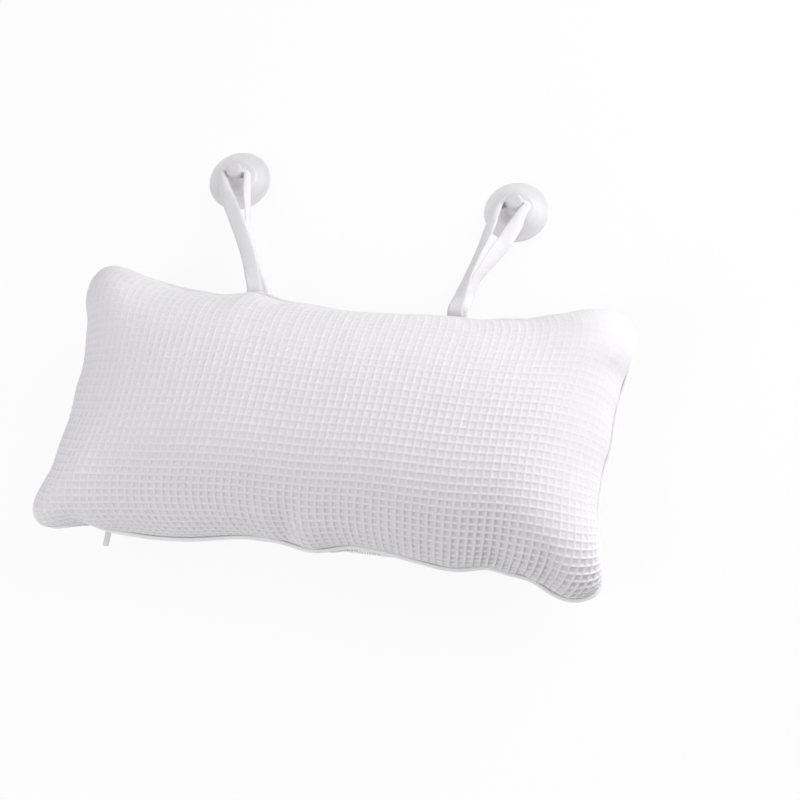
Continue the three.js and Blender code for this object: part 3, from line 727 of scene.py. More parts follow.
# Lets the cut cloth settle under pressure while its border is drawn in to the seam, and keeps the folds
def settleCover(front, back):
    rows, columns = front.shape[:2]
    formed = np.concatenate([front.reshape(-1, 3), back.reshape(-1, 3)])
    middle = np.array([0, 0, cushion["seamHeight"]])
    cut = middle + (formed - middle) * (1 + cover["fullness"])
    pinned = np.zeros((rows, columns), bool)
    pinned[[0, -1], :] = pinned[:, [0, -1]] = True
    pinned = np.concatenate([pinned.ravel(), pinned.ravel()])
    sewn = np.where(pinned[:, None], formed, cut)

    mesh = bpy.data.meshes.new("coverCut")
    mesh.from_pydata((cut * cover["simScale"]).tolist(), [], closedFaces(rows, columns).tolist())
    panel = addPiece("coverCut", mesh)
    panel.shape_key_add(name="cut")
    drawn = panel.shape_key_add(name="sewn")
    drawn.data.foreach_set("co", (sewn * cover["simScale"]).astype(np.float32).ravel())
    for value, at in ((0.0, 1), (1.0, cover["drawFrames"])):
        drawn.value = value
        drawn.keyframe_insert("value", frame=at)
    seam = panel.vertex_groups.new(name="seam")
    seam.add([int(spot) for spot in np.nonzero(pinned)[0]], 1.0, "REPLACE")
    modifier = panel.modifiers.new("cloth", "CLOTH")
    for setting, value in cover["cloth"].items():
        setattr(modifier.settings, setting, value)
    modifier.settings.effector_weights.gravity = 0
    modifier.collision_settings.use_collision = False
    modifier.point_cache.frame_start = 1
    modifier.point_cache.frame_end = cover["frames"]
    for step in range(1, cover["frames"] + 1):
        scene.frame_set(step)
    settled = panel.evaluated_get(bpy.context.evaluated_depsgraph_get()).data
    points = np.zeros(len(settled.vertices) * 3, np.float32)
    settled.vertices.foreach_get("co", points)
    points = points.reshape(-1, 3).astype(float) / cover["simScale"]
    action = mesh.shape_keys.animation_data.action
    bpy.data.objects.remove(panel)
    bpy.data.meshes.remove(mesh)
    bpy.data.actions.remove(action)
    scene.frame_set(1)
    move = (points - formed).reshape(2, rows, columns, 3)
    broad, fine = [np.stack([evenOut(half, cover[rounds]) for half in move]) for rounds in ("evenRounds", "foldRounds")]
    move = cover["keepBroad"] * broad + cover["keepFolds"] * (fine - broad)
    far = np.linalg.norm(move, axis=-1, keepdims=True) + 1e-9
    print("cover: settled, moved", round(float(far.mean()), 2), "mm on average,", round(float(far.max()), 2), "at most")
    move *= cover["cap"] * np.tanh(far / cover["cap"]) / far
    return front + move[0], back + move[1]


def gridNormals(grid):
    normal = np.cross(np.gradient(grid, axis=1), np.gradient(grid, axis=0))
    return normal / np.maximum(np.linalg.norm(normal, axis=-1, keepdims=True), 1e-9)


# Creases run from the crown down to the seam, deepest where the seam draws them in
def pressCreases(grid):
    rows, columns = grid.shape[:2]
    cells = np.stack(np.meshgrid(np.arange(columns), np.arange(rows)), -1).astype(float)
    fromEdge = np.minimum(cells, [columns - 1, rows - 1] - cells).min(-1)
    lip, lipPlace = cover["creaseLip"]
    push = np.zeros((rows, columns))
    for start, end, depth, width in cover["creases"]:
        along = np.subtract(end, start).astype(float)
        share = np.clip(((cells - start) @ along) / (along @ along), 0, 1)
        away = np.linalg.norm(cells - start - share[..., None] * along, axis=-1)
        valley = bump(away, 0, width) - lip * bump(away, lipPlace * width, width)
        push += depth * smoothStep(-0.1, 0.5, share) * valley
    return grid - gridNormals(grid) * (push * smoothStep(0, 1.5, fromEdge))[..., None]


frontGrid, backGrid = settleCover(spreadCells(1), spreadCells(-1))
frontGrid = pressCreases(frontGrid)
restRound = cover["restRound"]
backGrid[..., 2] = 0.5 * (backGrid[..., 2] + np.sqrt(backGrid[..., 2] ** 2 + 4 * restRound**2))
print("cover: front top", round(float(frontGrid[..., 2].max()), 1), "mm")


waffle = {
    "depth": 0.72,
    "floorEdge": 0.52,  # share of the half cell that is flat floor
    "ridgeEdge": 0.97,
    "unevenness": 0.03,
    "driftScale": 0.55,
    "seamFade": 0.6,  # cells over which the relief fades at the seam
    "frontSteps": (0.0, 0.13, 0.22, 0.33, 0.5, 0.67, 0.78, 0.87),
    "backSteps": (0.0, 0.15, 0.28, 0.5, 0.72, 0.85),
    "ridgeColour": (0.848, 0.833, 0.853),
    # painted shade: the pits are painted darker than the ridges, by more where the relief is deeper
    "pitShade": 0.94,
    "threads": 11.0,  # in each cell
    "topShare": 0.38,  # the cloth is drawn flatter over the upper half and the right flank, and is slack below; the painted shade in the pits follows these shares too
    "lowShare": 1.6,
    "flankShare": 0.3,
    "leftShare": 0.76,
    "cornerShare": 1.65,
    # where these shares set in and are full, from 0 to 1 across and up the panel
    "lowUp": (0.85, 0.15),
    "flankAcross": (0.78, 0.92),
    "flankUp": (0.06, 0.26),
    "leftAcross": (0.3, 0.1),
    "cornerAcross": (0.6, 0.85),
    "cornerUp": (0.38, 0.16),
}


def waffleClothMaterial():
    material, tree, shader = startMaterial(
        "waffleCloth", {"Roughness": 0.95, "Sheen Weight": 0.12, "Sheen Roughness": 0.6, "Specular IOR Level": 0.2}
    )
    place = addNode(tree, "ShaderNodeAttribute", {"attribute_name": "cellPlace"}).outputs["Vector"]
    relief = addNode(tree, "ShaderNodeAttribute", {"attribute_name": "relief"}).outputs["Fac"]
    weave = useGroup(tree, threadWeave, {"Place": place, "Threads": waffle["threads"], "Repeat": 2.0})
    tone = useGroup(tree, handledTone, {"Place": objectPlace(tree), "Patches": 16.0, "Spread": 0.03})
    # painted shade: darker in the pits, from the stored relief level
    paintedPitShade = calc(tree, "MULTIPLY_ADD", relief, 1 - waffle["pitShade"], waffle["pitShade"])
    shares = (weave["Shade"], tone["Tone"], paintedPitShade)
    feedShader(tree, shader, waffle["ridgeColour"], shares, weave["Height"], strength=0.35, distance=0.25)
    return material


def namedVector(tree, name):
    return outOf(tree, "GeometryNodeInputNamedAttribute", {"data_type": "FLOAT_VECTOR"}, {"Name": name})


# Ends a tree: makes copies real and gives them their material
def dressTree(tree, out, geometry, material):
    whole = outOf(tree, "GeometryNodeRealizeInstances", None, {"Geometry": geometry})
    dressed = outOf(tree, "GeometryNodeSetMaterial", None, {"Geometry": whole, "Material": material})
    tree.links.new(dressed, out.inputs["Geometry"])
    return tree


# Raises a square net of ridges along the cell borders. cellPlace counts cells in x and y; its z fades the relief.
def makeWaffleTree():
    tree, given, out = makeTree(
        "GeometryNodeTree",
        "waffleRelief",
        [
            ("Geometry", "Geometry", None),
            ("Depth", "Float", 0.001),
            ("Floor edge", "Float", 0.45),
            ("Ridge edge", "Float", 0.95),
            ("Unevenness", "Float", 0.05),
            ("Cloth", "Material", None),
        ],
        [("Geometry", "Geometry")],
    )
    place = namedVector(tree, "cellPlace")
    noise = {"Vector": place, "Scale": waffle["driftScale"], "Detail": 1.0}
    drift = addNode(tree, "ShaderNodeTexNoise", {"noise_dimensions": "3D"}, noise).outputs["Color"]
    centred = vectorCalc(tree, "SUBTRACT", drift, (0.5, 0.5, 0.5))
    moved = vectorCalc(tree, "ADD", place, vectorCalc(tree, "SCALE", centred, given["Unevenness"]))
    axes = addNode(tree, "ShaderNodeSeparateXYZ", None, {0: moved}).outputs
    fade = addNode(tree, "ShaderNodeSeparateXYZ", None, {0: place}).outputs["Z"]

    def ridge(axis):
        inCell = calc(tree, "FRACT", axis)
        fromMiddle = calc(tree, "ABSOLUTE", calc(tree, "MULTIPLY_ADD", inCell, 2.0, -1.0))
        span = {"Value": fromMiddle, "From Min": given["Floor edge"], "From Max": given["Ridge edge"]}
        return outOf(tree, "ShaderNodeMapRange", {"interpolation_type": "SMOOTHSTEP"}, span)

    net = calc(tree, "MAXIMUM", ridge(axes["X"]), ridge(axes["Y"]))
    level = calc(tree, "MULTIPLY", calc(tree, "SUBTRACT", net, 0.5), fade)
    height = calc(tree, "MULTIPLY", level, given["Depth"])
    offset = vectorCalc(tree, "SCALE", outOf(tree, "GeometryNodeInputNormal"), height)
    # the stored relief level also sets the painted shade in the pits
    stored = outOf(
        tree,
        "GeometryNodeStoreNamedAttribute",
        {"data_type": "FLOAT", "domain": "POINT"},
        {"Geometry": given["Geometry"], "Name": "relief", "Value": calc(tree, "ADD", level, 0.5)},
    )
    raised = outOf(tree, "GeometryNodeSetPosition", None, {"Geometry": stored, "Offset": offset})
    return dressTree(tree, out, raised, given["Cloth"])


# How much of the relief's depth, and of the painted shade in the pits, each place has; across and up run from 0 to 1
def reliefShare(across, up):
    across, up = across[None, :], up[:, None]
    low = waffle["topShare"] + (waffle["lowShare"] - waffle["topShare"]) * smoothStep(*waffle["lowUp"], up)
    flank = smoothStep(*waffle["flankAcross"], across) * smoothStep(*waffle["flankUp"], up)
    left = smoothStep(*waffle["leftAcross"], across)
    corner = smoothStep(*waffle["cornerAcross"], across) * smoothStep(*waffle["cornerUp"], up)
    share = low * (1 - (1 - waffle["flankShare"]) * flank)
    return share * (1 - (1 - waffle["leftShare"]) * left) * (1 + (waffle["cornerShare"] - 1) * corner)


# One cover panel: a finely divided outer face that carries the relief, and a plain inner face joined along the rim.
def panelMesh(name, grid, up, steps):
    columns, rows = cover["columns"], cover["rows"]
    fineU, fineV = [np.append(np.add.outer(np.arange(count), steps).ravel(), count) for count in (columns, rows)]
    outer = np.einsum("ar,bc,rcx->abx", splineWeights(rows + 1, fineV), splineWeights(columns + 1, fineU), grid)
    inner = grid - up * cover["thickness"] * gridNormals(grid)
    if up < 0:
        outer[..., 2] = np.maximum(outer[..., 2], cover["restLevel"])
        inner[..., 2] = np.maximum(inner[..., 2], cover["restLevel"] + cover["thickness"])
    index = np.arange(outer.size // 3).reshape(outer.shape[:2])
    innerIndex = np.arange(inner.size // 3).reshape(inner.shape[:2]) + index.size
    faces = [*gridQuads(index).tolist(), *np.roll(gridQuads(innerIndex)[:, ::-1], 1, 1).tolist()]
    for way in (np.s_[0, :], np.s_[:, -1], np.s_[-1, ::-1], np.s_[::-1, 0]):
        outerEdge, innerEdge = index[way], innerIndex[way]
        for cell in range(len(innerEdge) - 1):
            run = outerEdge[cell * len(steps) : (cell + 1) * len(steps) + 1]
            faces.append([*run[::-1].tolist(), int(innerEdge[cell]), int(innerEdge[cell + 1])])
    if up < 0:
        faces = [face[::-1] for face in faces]
    points = np.concatenate([outer.reshape(-1, 3), inner.reshape(-1, 3)])
    mesh = meshFrom(name, points, faces)
    fromEdge = np.minimum(np.minimum(fineU, columns - fineU)[None, :], np.minimum(fineV, rows - fineV)[:, None])
    fade = smoothStep(0, waffle["seamFade"], fromEdge) * reliefShare(fineU / columns, fineV / rows)
    place = np.zeros((len(points), 3), np.float32)
    place[: index.size] = np.stack([*np.meshgrid(fineU, fineV), fade], -1).reshape(-1, 3)
    mesh.attributes.new("cellPlace", "FLOAT_VECTOR", "POINT").data.foreach_set("vector", place.ravel())
    return mesh


waffleTree = makeWaffleTree()
reliefSizes = {
    "Depth": waffle["depth"] * mm,
    "Floor edge": waffle["floorEdge"],
    "Ridge edge": waffle["ridgeEdge"],
    "Unevenness": waffle["unevenness"],
    "Cloth": waffleClothMaterial(),
}
for name, grid, up, steps, node in (
    ("coverFront", frontGrid, 1, waffle["frontSteps"], "front_panel"),
    ("coverBack", backGrid, -1, waffle["backSteps"], "back_panel"),
):
    panel = addPiece(name, growMesh(panelMesh(name, grid, up, steps), waffleTree, reliefSizes))
    tie(panel, "cushion", node)
print("cover: front and back panels have their waffle relief")

# Inner cushion: a plain bag, sewn from two halves, and the loose fibre in it. Both stay inside the cover.
inner = {
    "linerDepth": 2.4,
    "linerInset": 7.0,
    "linerWall": 0.6,
    "linerRim": 0.2,
    "fillDepth": 3.4,
    "fillInset": 8.0,
    "fillRim": 0.05,
    "columns": 60,
    "rows": 32,
    "lump": 0.5,
    "lumpEase": 12,  # height above the seam at which the lumps are full
    "bagCloth": {"colour": (0.84, 0.84, 0.82), "patches": 30.0, "fibres": 900.0, "lift": 0.15},
    "looseFibre": {"colour": (0.90, 0.89, 0.87), "patches": 45.0, "fibres": 260.0, "lift": 1.0},
}


def innerLayer(up, depth, inset, rim):
    s, t = np.meshgrid(*[np.sin(np.pi / 2 * np.linspace(-1, 1, inner[way] + 1)) for way in ("columns", "rows")])
    return cushionPoint(s, t, up, inset, depth, rim)


def closedGrid(name, upper, lower):
    return meshFrom(name, np.concatenate([upper.reshape(-1, 3), lower.reshape(-1, 3)]), closedFaces(*upper.shape[:2]))


def looseMaterial(name):
    look = inner[name]
    material, tree, shader = startMaterial(name, {"Roughness": 0.95, "Sheen Weight": 0.2, "Sheen Roughness": 0.5})
    place = objectPlace(tree)
    tone = useGroup(tree, handledTone, {"Place": place, "Patches": look["patches"], "Spread": 0.14})
    fibres = noiseOf(tree, place, look["fibres"], 6.0, 2.5)
    shares = (tone["Tone"], calc(tree, "MULTIPLY_ADD", fibres, 0.16, 0.90))
    feedShader(tree, shader, look["colour"], shares, fibres, strength=0.5, distance=look["lift"])
    return material


def addInnerCushion():
    bagCloth, fibre = looseMaterial("bagCloth"), looseMaterial("looseFibre")
    for up, half in ((1, "Front"), (-1, "Back")):
        layers = [
            innerLayer(up, inner["linerDepth"] + wall, inner["linerInset"] + wall, inner["linerRim"])
            for wall in (0, inner["linerWall"])[::up]
        ]
        bag = addPiece("liner" + half, closedGrid("liner" + half, *layers), bagCloth)
        tie(bag, "cushion", "liner_" + half.lower())
    upper, lower = [innerLayer(up, inner["fillDepth"], inner["fillInset"], inner["fillRim"]) for up in (1, -1)]
    x, y = upper[..., 0], upper[..., 1]
    lumps = np.sin(x / 9.0 + 1.3) * np.sin(y / 8.0 + 0.4) + 0.6 * np.sin(x / 4.1) * np.sin(y / 4.7 + 2.0)
    edge = np.clip((upper[..., 2] - cushion["seamHeight"]) / inner["lumpEase"], 0, 1)
    upper[..., 2] -= inner["lump"] * (1 + lumps / 1.6) * edge
    stuffing = addPiece("fibreFill", closedGrid("fibreFill", upper, lower), fibre)
    tie(stuffing, "cushion", "fibre_fill")


addInnerCushion()
print("inner cushion: bag and fibre are in place")


# A closed skin through rings of points, right side out, with a cap at both ends. Its UV map holds mm along and around.
def skinMesh(name, rings, along):
    rings = np.asarray(rings, float)
    count, around = rings.shape[:2]
    index = np.arange(count * around).reshape(count, around)
    ahead = np.roll(index, -1, axis=1)
    sides = np.stack([index[:-1], ahead[:-1], ahead[1:], index[1:]], -1).reshape(-1, 4)
    mesh = meshFrom(name, rings.reshape(-1, 3), [*sides.tolist(), index[0, ::-1].tolist(), index[-1].tolist()])
    step = np.linalg.norm(np.diff(np.concatenate([rings, rings[:, :1]], 1), axis=1), axis=2)
    wayRound = np.concatenate([np.zeros((count, 1)), np.cumsum(step, 1)], 1)
    uv = np.zeros((len(mesh.loops), 2), np.float32)
    row, column = np.divmod(np.arange(len(sides)), around)
    for corner, (rowStep, columnStep) in enumerate(((0, 0), (0, 1), (1, 1), (1, 0))):
        uv[corner : 4 * len(sides) : 4, 0] = along[row + rowStep]
        uv[corner : 4 * len(sides) : 4, 1] = wayRound[row + rowStep, column + columnStep]
    mesh.uv_layers.new(name="weave").data.foreach_set("uv", uv.ravel())
    work = bmesh.new()
    work.from_mesh(mesh)
    bmesh.ops.recalc_face_normals(work, faces=work.faces)
    return meshOf(work, mesh)


# Piping: a bias strip folded round a cord, sewn into the seam. Its ends overlap at the lower right ear.
piping = {
    "bead": 1.25,
    "beadOut": 1.1,
    "beadDrop": 0.4,
    "flangeWidth": 5.0,
    "flangeThickness": 0.8,
    "step": 1.15,
    "overlap": 6.0,
    "overlapSwell": 0.22,
    "gather": 0.035,
    "gatherWaves": [(1.0, 2.9, 0.8, 7.3), (0.7, 1.35, 1.1, 4.1)],  # height and length, and those of its own drift
    "beadSides": 16,
    "cord": 0.6,
    "cordStep": 1.6,
    "cordSides": 12,
    "strandDip": 0.14,
    "strandTurn": 1.9,  # mm along the cord in which its three strands turn by one radian
    "cloth": {
        "colour": (0.87, 0.86, 0.875), "roughness": 0.8, "sheen": 0.1, "bias": 45, "threads": 3.2, "repeat": 2.0,
        "spread": 0.04, "bump": 0.3, "lift": 0.12,
    },
}


# The seam all round, clockwise seen from the front, from the lower right ear to itself again.
def seamLoop(step):
    edges = []
    for name, backwards in (("bottom", True), ("left", False), ("top", False), ("right", True)):
        line = seamEdge(name, 400)[0]
        edges.append((line[::-1] if backwards else line)[:-1])
    loop = np.concatenate(edges)
    for unused in range(6):  # eases the corners between edges
        loop = 0.5 * loop + 0.25 * (np.roll(loop, 1, 0) + np.roll(loop, -1, 0))
    closed = np.concatenate([loop, loop[:1]])
    length = lengthAlong(closed)
    even = np.linspace(0, length[-1], int(round(length[-1] / step)) + 1)[:-1]
    loop = readLine(even, length, closed)
    heading = np.roll(loop, -1, 0) - np.roll(loop, 1, 0)
    heading[:, 2] = 0
    heading /= np.linalg.norm(heading, axis=1, keepdims=True)
    outward = np.stack([-heading[:, 1], heading[:, 0], 0 * heading[:, 0]], -1)
    return loop, outward, even


# Lays a closed outline round each place of the seam and makes it a piece
def addRound(name, node, place, outward, across, up, along, cloth):
    rings = place[:, None] + across[..., None] * outward[:, None] + up[..., None] * zAxis
    piece = addPiece(name, skinMesh(name, rings, along), cloth)
    tie(piece, "cushion", node)


def addPiping():
    cloth = wovenCloth("biasCloth", piping["cloth"])
    loop, outward, along = seamLoop(piping["step"])
    extra = int(round(piping["overlap"] / piping["step"]))
    loop = np.concatenate([loop[-extra:], loop])
    outward = np.concatenate([outward[-extra:], outward])
    along = np.concatenate([along[-extra:] - along[-1] - piping["step"], along])
    turning = np.linalg.norm(np.gradient(outward, axis=0), axis=1)
    ears = smoothStep(0.02, 0.09, np.convolve(turning, np.ones(9) / 9, "same"))
    wave = 0
    for height, length, drift, driftLength in piping["gatherWaves"]:
        wave = wave + height * np.sin(along / length + drift * np.sin(along / driftLength))
    sleeve = 1 - smoothStep(piping["overlap"] * 0.75, piping["overlap"] * 0.95, along)
    half = piping["flangeThickness"] / 2
    neck = math.asin(half / piping["bead"])
    angles = np.linspace(-math.pi + neck, math.pi - neck, piping["beadSides"] + 1)
    gather = piping["gather"] * (0.35 + 0.65 * ears) * wave
    radius = (piping["bead"] + piping["overlapSwell"] * sleeve)[:, None]
    radius = radius * (1 + gather[:, None] * np.cos(angles / 2) ** 2)
    flange = np.ones((len(loop), 1))
    ends = -piping["flangeWidth"] * flange
    across = np.hstack([ends, piping["beadOut"] + radius * np.cos(angles), ends])
    up = np.hstack([-half * flange, radius * np.sin(angles) - piping["beadDrop"], half * flange])
    addRound("pipingStrip", "piping_cover", loop, outward, across, up, along, cloth)

    loop, outward, along = seamLoop(piping["cordStep"])
    turns = np.linspace(0, 2 * math.pi, piping["cordSides"] + 1)[:-1]
    strands = np.abs(np.cos(1.5 * (turns - along[:, None] / piping["strandTurn"])))
    radius = piping["cord"] * (1 - piping["strandDip"] + piping["strandDip"] * strands)
    across = piping["beadOut"] + radius * np.cos(turns)
    up = radius * np.sin(turns) - piping["beadDrop"]
    addRound("pipingCord", "piping_cord", loop, outward, across, up, along, cloth)


addPiping()
print("piping: strip and cord follow the seam")


# Zip: two woven tapes, two rows of nylon teeth, metal stops, a slider and its tab
def zipTapeMesh(name, side):
    inside, outside = zipper["rowGap"] / 2, zipper["halfSpread"]
    half = zipper["tapeThickness"] / 2
    profile = [  # across the zip and out of it, with worn corners
        (inside, -half * 0.8),
        (inside + 0.25, -half),
        (outside - 0.3, -half * 0.9),
        (outside, 0.0),
        (outside - 0.3, half * 0.9),
        (inside + 2.2, half),
        (inside + 0.25, half),
        (inside, half * 0.8),
    ]
    along = np.linspace(-zipper["length"] / 2, zipper["length"] / 2, zipper["tapeStations"])
    rings = [[zipPoint(x, out, side * across) for across, out in profile] for x in along]
    return skinMesh(name, rings, along + zipper["length"] / 2)


# Copies a shape along the points of the base mesh, each turned to the point's own heading.
def makeRowTree():
    tree, given, out = makeTree(
        "GeometryNodeTree",
        "rowOfCopies",
        [
            ("Geometry", "Geometry", None),
            ("Shape", "Object", None),
            ("Size spread", "Float", 0.0),
            ("Seed", "Int", 5),
            ("Finish", "Material", None),
        ],
        [("Geometry", "Geometry")],
    )
    shape = addNode(tree, "GeometryNodeObjectInfo", {"transform_space": "ORIGINAL"}, {"Object": given["Shape"]})
    heading, facing = namedVector(tree, "heading"), namedVector(tree, "facing")
    first = outOf(tree, "FunctionNodeAlignRotationToVector", {"axis": "X"}, {"Vector": heading})
    pivot = {"axis": "Z", "pivot_axis": "X"}
    turned = outOf(tree, "FunctionNodeAlignRotationToVector", pivot, {"Rotation": first, "Vector": facing})
    low = calc(tree, "SUBTRACT", 1.0, given["Size spread"])
    high = calc(tree, "ADD", 1.0, given["Size spread"])
    draw = addNode(tree, "FunctionNodeRandomValue", {"data_type": "FLOAT"}, {2: low, 3: high, "Seed": given["Seed"]})
    copies = outOf(
        tree,
        "GeometryNodeInstanceOnPoints",
        None,
        {
            "Points": outOf(tree, "GeometryNodeMeshToPoints", None, {"Mesh": given["Geometry"]}),
            "Instance": shape.outputs["Geometry"],
            "Rotation": turned,
            "Scale": draw.outputs[1],
        },
    )
    return dressTree(tree, out, copies, given["Finish"])


rowTree = makeRowTree()


# A row along the zip
def rowOfCopies(name, places, facing, shape, finish, spread=0.0):
    base = meshFrom(name, places, [])
    for label, way in (("heading", xAxis), ("facing", facing)):
        ways = np.broadcast_to(way.astype(np.float32), (len(places), 3))
        base.attributes.new(label, "FLOAT_VECTOR", "POINT").data.foreach_set("vector", ways.ravel())
    return addPiece(name, growMesh(base, rowTree, {"Shape": shape, "Size spread": spread, "Seed": 7, "Finish": finish}))


# A small rounded bar, long in X
def roundedBar(name, length, width, height, rounding):
    work = bmesh.new()
    bmesh.ops.create_cube(work, size=1.0)
    bmesh.ops.scale(work, vec=(length * mm, width * mm, height * mm), verts=work.verts)
    bmesh.ops.bevel(work, geom=work.edges[:], offset=rounding * mm, segments=1, affect="EDGES", profile=0.7)
    return bpy.data.objects.new(name, meshOf(work, bpy.data.meshes.new(name)))


# Moulded or painted finish with slight changes of tone, roughness and height
def hardMaterial(name, colour, constants, spread, patches, roughness, grainScale, grainDetail, strength, lift):
    material, tree, shader = startMaterial(name, {"Specular IOR Level": 0.4, **constants})
    place = objectPlace(tree)
    tone = useGroup(tree, handledTone, {"Place": place, "Patches": patches, "Spread": spread})
    rough = calc(tree, "MULTIPLY_ADD", tone["Patch"], 0.2, roughness - 0.1)
    grain = noiseOf(tree, place, grainScale, grainDetail)
    feedShader(tree, shader, colour, (tone["Tone"],), grain, strength, lift, rough)
    return material


plasticGrain = {"patches": 160.0, "grainScale": 2500.0, "grainDetail": 2.0, "strength": 0.12, "lift": 0.05}


def plasticMaterial(name, colour, roughness, spread):
    return hardMaterial(name, colour, {}, spread=spread, roughness=roughness, **plasticGrain)


# A copy of a rigid CAD node with its edges eased
def easedCopy(name, node, rounding, finish, body):
    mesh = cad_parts[node].data.copy()
    mesh.name = name
    work = bmesh.new()
    work.from_mesh(mesh)
    bmesh.ops.remove_doubles(work, verts=work.verts, dist=1e-6)
    bmesh.ops.dissolve_limit(work, angle_limit=math.radians(2), verts=work.verts, edges=work.edges)
    sharp = [edge for edge in work.edges if len(edge.link_faces) == 2 and edge.calc_face_angle(0) > math.radians(35)]
    bmesh.ops.bevel(
        work, geom=sharp, offset=rounding * mm, segments=2, affect="EDGES", profile=0.6, clamp_overlap=True
    )
    bmesh.ops.triangulate(work, faces=work.faces)
    meshOf(work, mesh).set_sharp_from_angle(angle=math.radians(40))
    tie(addPiece(name, mesh, finish), body, node)


def addZip():
    tapeCloth = wovenCloth("zipTape", zipper["cloth"])
    nylon, metal, thread = [plasticMaterial(name, *look) for name, look in zipper["finishes"].items()]
    toothLength, toothRounding = zipper["tooth"]
    tooth = roundedBar("tooth", toothLength, zipper["coilHeight"], zipper["coilWidth"], toothRounding)
    stitch = roundedBar("stitch", *zipper["stitch"])
    acrossZip = zipPoint(0, 0, 1.0) - zipPoint(0, 0, 0.0)
    outOfZip = zipPoint(0, -1.0, 0) - zipPoint(0, 0.0, 0)
    tapeFace = -zipper["tapeThickness"] / 2
    rowLevel = tapeFace - zipper["seatGap"] - zipper["coilHeight"] / 2
    stitchEnd = zipper["length"] / 2 - zipper["stitchMargin"]
    for side, half in ((1, "Front"), (-1, "Back")):
        tape = addPiece("zipTape" + half, zipTapeMesh("zipTape" + half, side), tapeCloth)
        tie(tape, "cushion", "zip_tape_" + half.lower())
        x = np.arange(zipper["rowStart"], zipper["rowEnd"], zipper["toothPitch"]) + 0.25 * side * zipper["toothPitch"]
        places = zipPoint(x, rowLevel, side * (zipper["rowGap"] + zipper["coilWidth"]) / 2)
        teeth = rowOfCopies("zipTeeth" + half, places, acrossZip, tooth, nylon)
        tie(teeth, "cushion", "zip_coil_" + half.lower())
        x = np.arange(-stitchEnd, stitchEnd, zipper["stitchPitch"])
        places = zipPoint(x, tapeFace, side * (zipper["halfSpread"] - zipper["stitchInset"]))
        stitches = rowOfCopies("zipStitches" + half, places, outOfZip, stitch, thread, zipper["stitchSpread"])
        tie(stitches, "cushion", None)
        easedCopy("zipStopTop" + half, "zip_top_stop_" + half.lower(), zipper["stopRounding"], metal, "cushion")
    easedCopy("zipStopBottom", "zip_bottom_stop", zipper["stopRounding"], metal, "cushion")
    easedCopy("zipSlider", "zip_slider", zipper["sliderRounding"], metal, "slider")
    easedCopy("zipPullTab", "zip_pull_tab", zipper["tabRounding"], metal, "pull_tab")


addZip()
print("zip: tapes, teeth, stitches, stops, slider and tab are in place")


# Straps: one length of cotton tape each, run through the knob's hole, both ends sewn into the top seam.
tape = {
    "width": 9.5,
    "thickness": 1.25,
    "knobRadius": 5.2,
    "mouthGap": 0.6,
    "bend": 2.6,
    "rootStack": 1.0,
    "bendLine": 76.39,
    "bendReach": 3.4,  # the tape bends this far to both sides of the line
    "curl": 3.7,  # how far the gathered tape rolls up in the hole, radians
    "uncurl": (-0.02, 0.34),  # shares of the way to the seam between which it opens
    "legCurl": 0.25,  # how far it rolls up along its legs
    "legCurlIn": (0.2, 0.6),
    "legCurlOut": (0.7, 1.0),
    "tailDrop": 2.9,  # the tape ends pass this far under the piping's middle
    "tailReach": 7.0,
    "stations": 150,
    "cloth": {
        "colour": (0.862, 0.85, 0.867), "roughness": 0.85, "sheen": 0.35, "bias": 0, "threads": 1.3, "repeat": 4.0,
        "spread": 0.07, "bump": 0.8, "lift": 0.2,
    },
}
# Suction cups: soft clear vinyl, turned profile (radius, height) with a step half way, and a cross hole in the knob
cup = {
    "profile": [
        (0.0, 4.0), (3.0, 3.95), (6.0, 3.75), (9.0, 3.25), (12.0, 2.4), (14.5, 1.45), (16.5, 0.65), (17.8, 0.0),
        (19.4, 0.0), (19.85, 0.12), (20.0, 0.45), (19.85, 0.8), (19.3, 1.0), (17.8, 1.4), (16.0, 2.05), (14.4, 2.95),
        (12.8, 3.75), (11.9, 4.2), (11.55, 4.75), (11.2, 5.15), (10.6, 5.3), (9.2, 5.75), (8.0, 6.1), (7.0, 6.4),
        (6.2, 6.85), (5.55, 7.5), (5.2, 8.4), (5.2, 15.6), (5.05, 16.5), (4.6, 17.2), (3.9, 17.55), (3.0, 17.6),
        (1.4, 17.6), (0.0, 17.6),
    ],
    "segments": 96,
    "holeHeight": 12.4,
    "holeRadius": 3.0,
    "holeSegments": 40,
    "holeLength": 24,
    "colour": (0.83, 0.82, 0.835),
    "vinyl": {"Transmission Weight": 0.45, "IOR": 1.36, "Coat Weight": 0.5, "Coat Roughness": 0.2},
    "finish": {
        "spread": 0.14, "patches": 140.0, "roughness": 0.52, "grainScale": 160.0, "grainDetail": 1.0, "strength": 0.2,
        "lift": 0.6,
    },
}


# A smooth line through knots, evenly paced
def smoothLine(knots, count):
    knots = np.asarray(knots, float)
    times = np.concatenate([[0], np.cumsum(np.sqrt(np.linalg.norm(np.diff(knots, axis=0), axis=1)))])
    slopes = np.gradient(knots, times, axis=0)
    fine = np.linspace(0, times[-1], 2000)
    low = np.clip(np.searchsorted(times, fine, "right") - 1, 0, len(knots) - 2)
    span = (times[low + 1] - times[low])[:, None]
    share = (fine - times[low])[:, None] / span
    line = (
        (2 * share**3 - 3 * share**2 + 1) * knots[low]
        + (share**3 - 2 * share**2 + share) * span * slopes[low]
        + (3 * share**2 - 2 * share**3) * knots[low + 1]
        + (share**3 - share**2) * span * slopes[low + 1]
    )
    length = lengthAlong(line)
    even = np.linspace(0, length[-1], count)
    return readLine(even, length, line), even


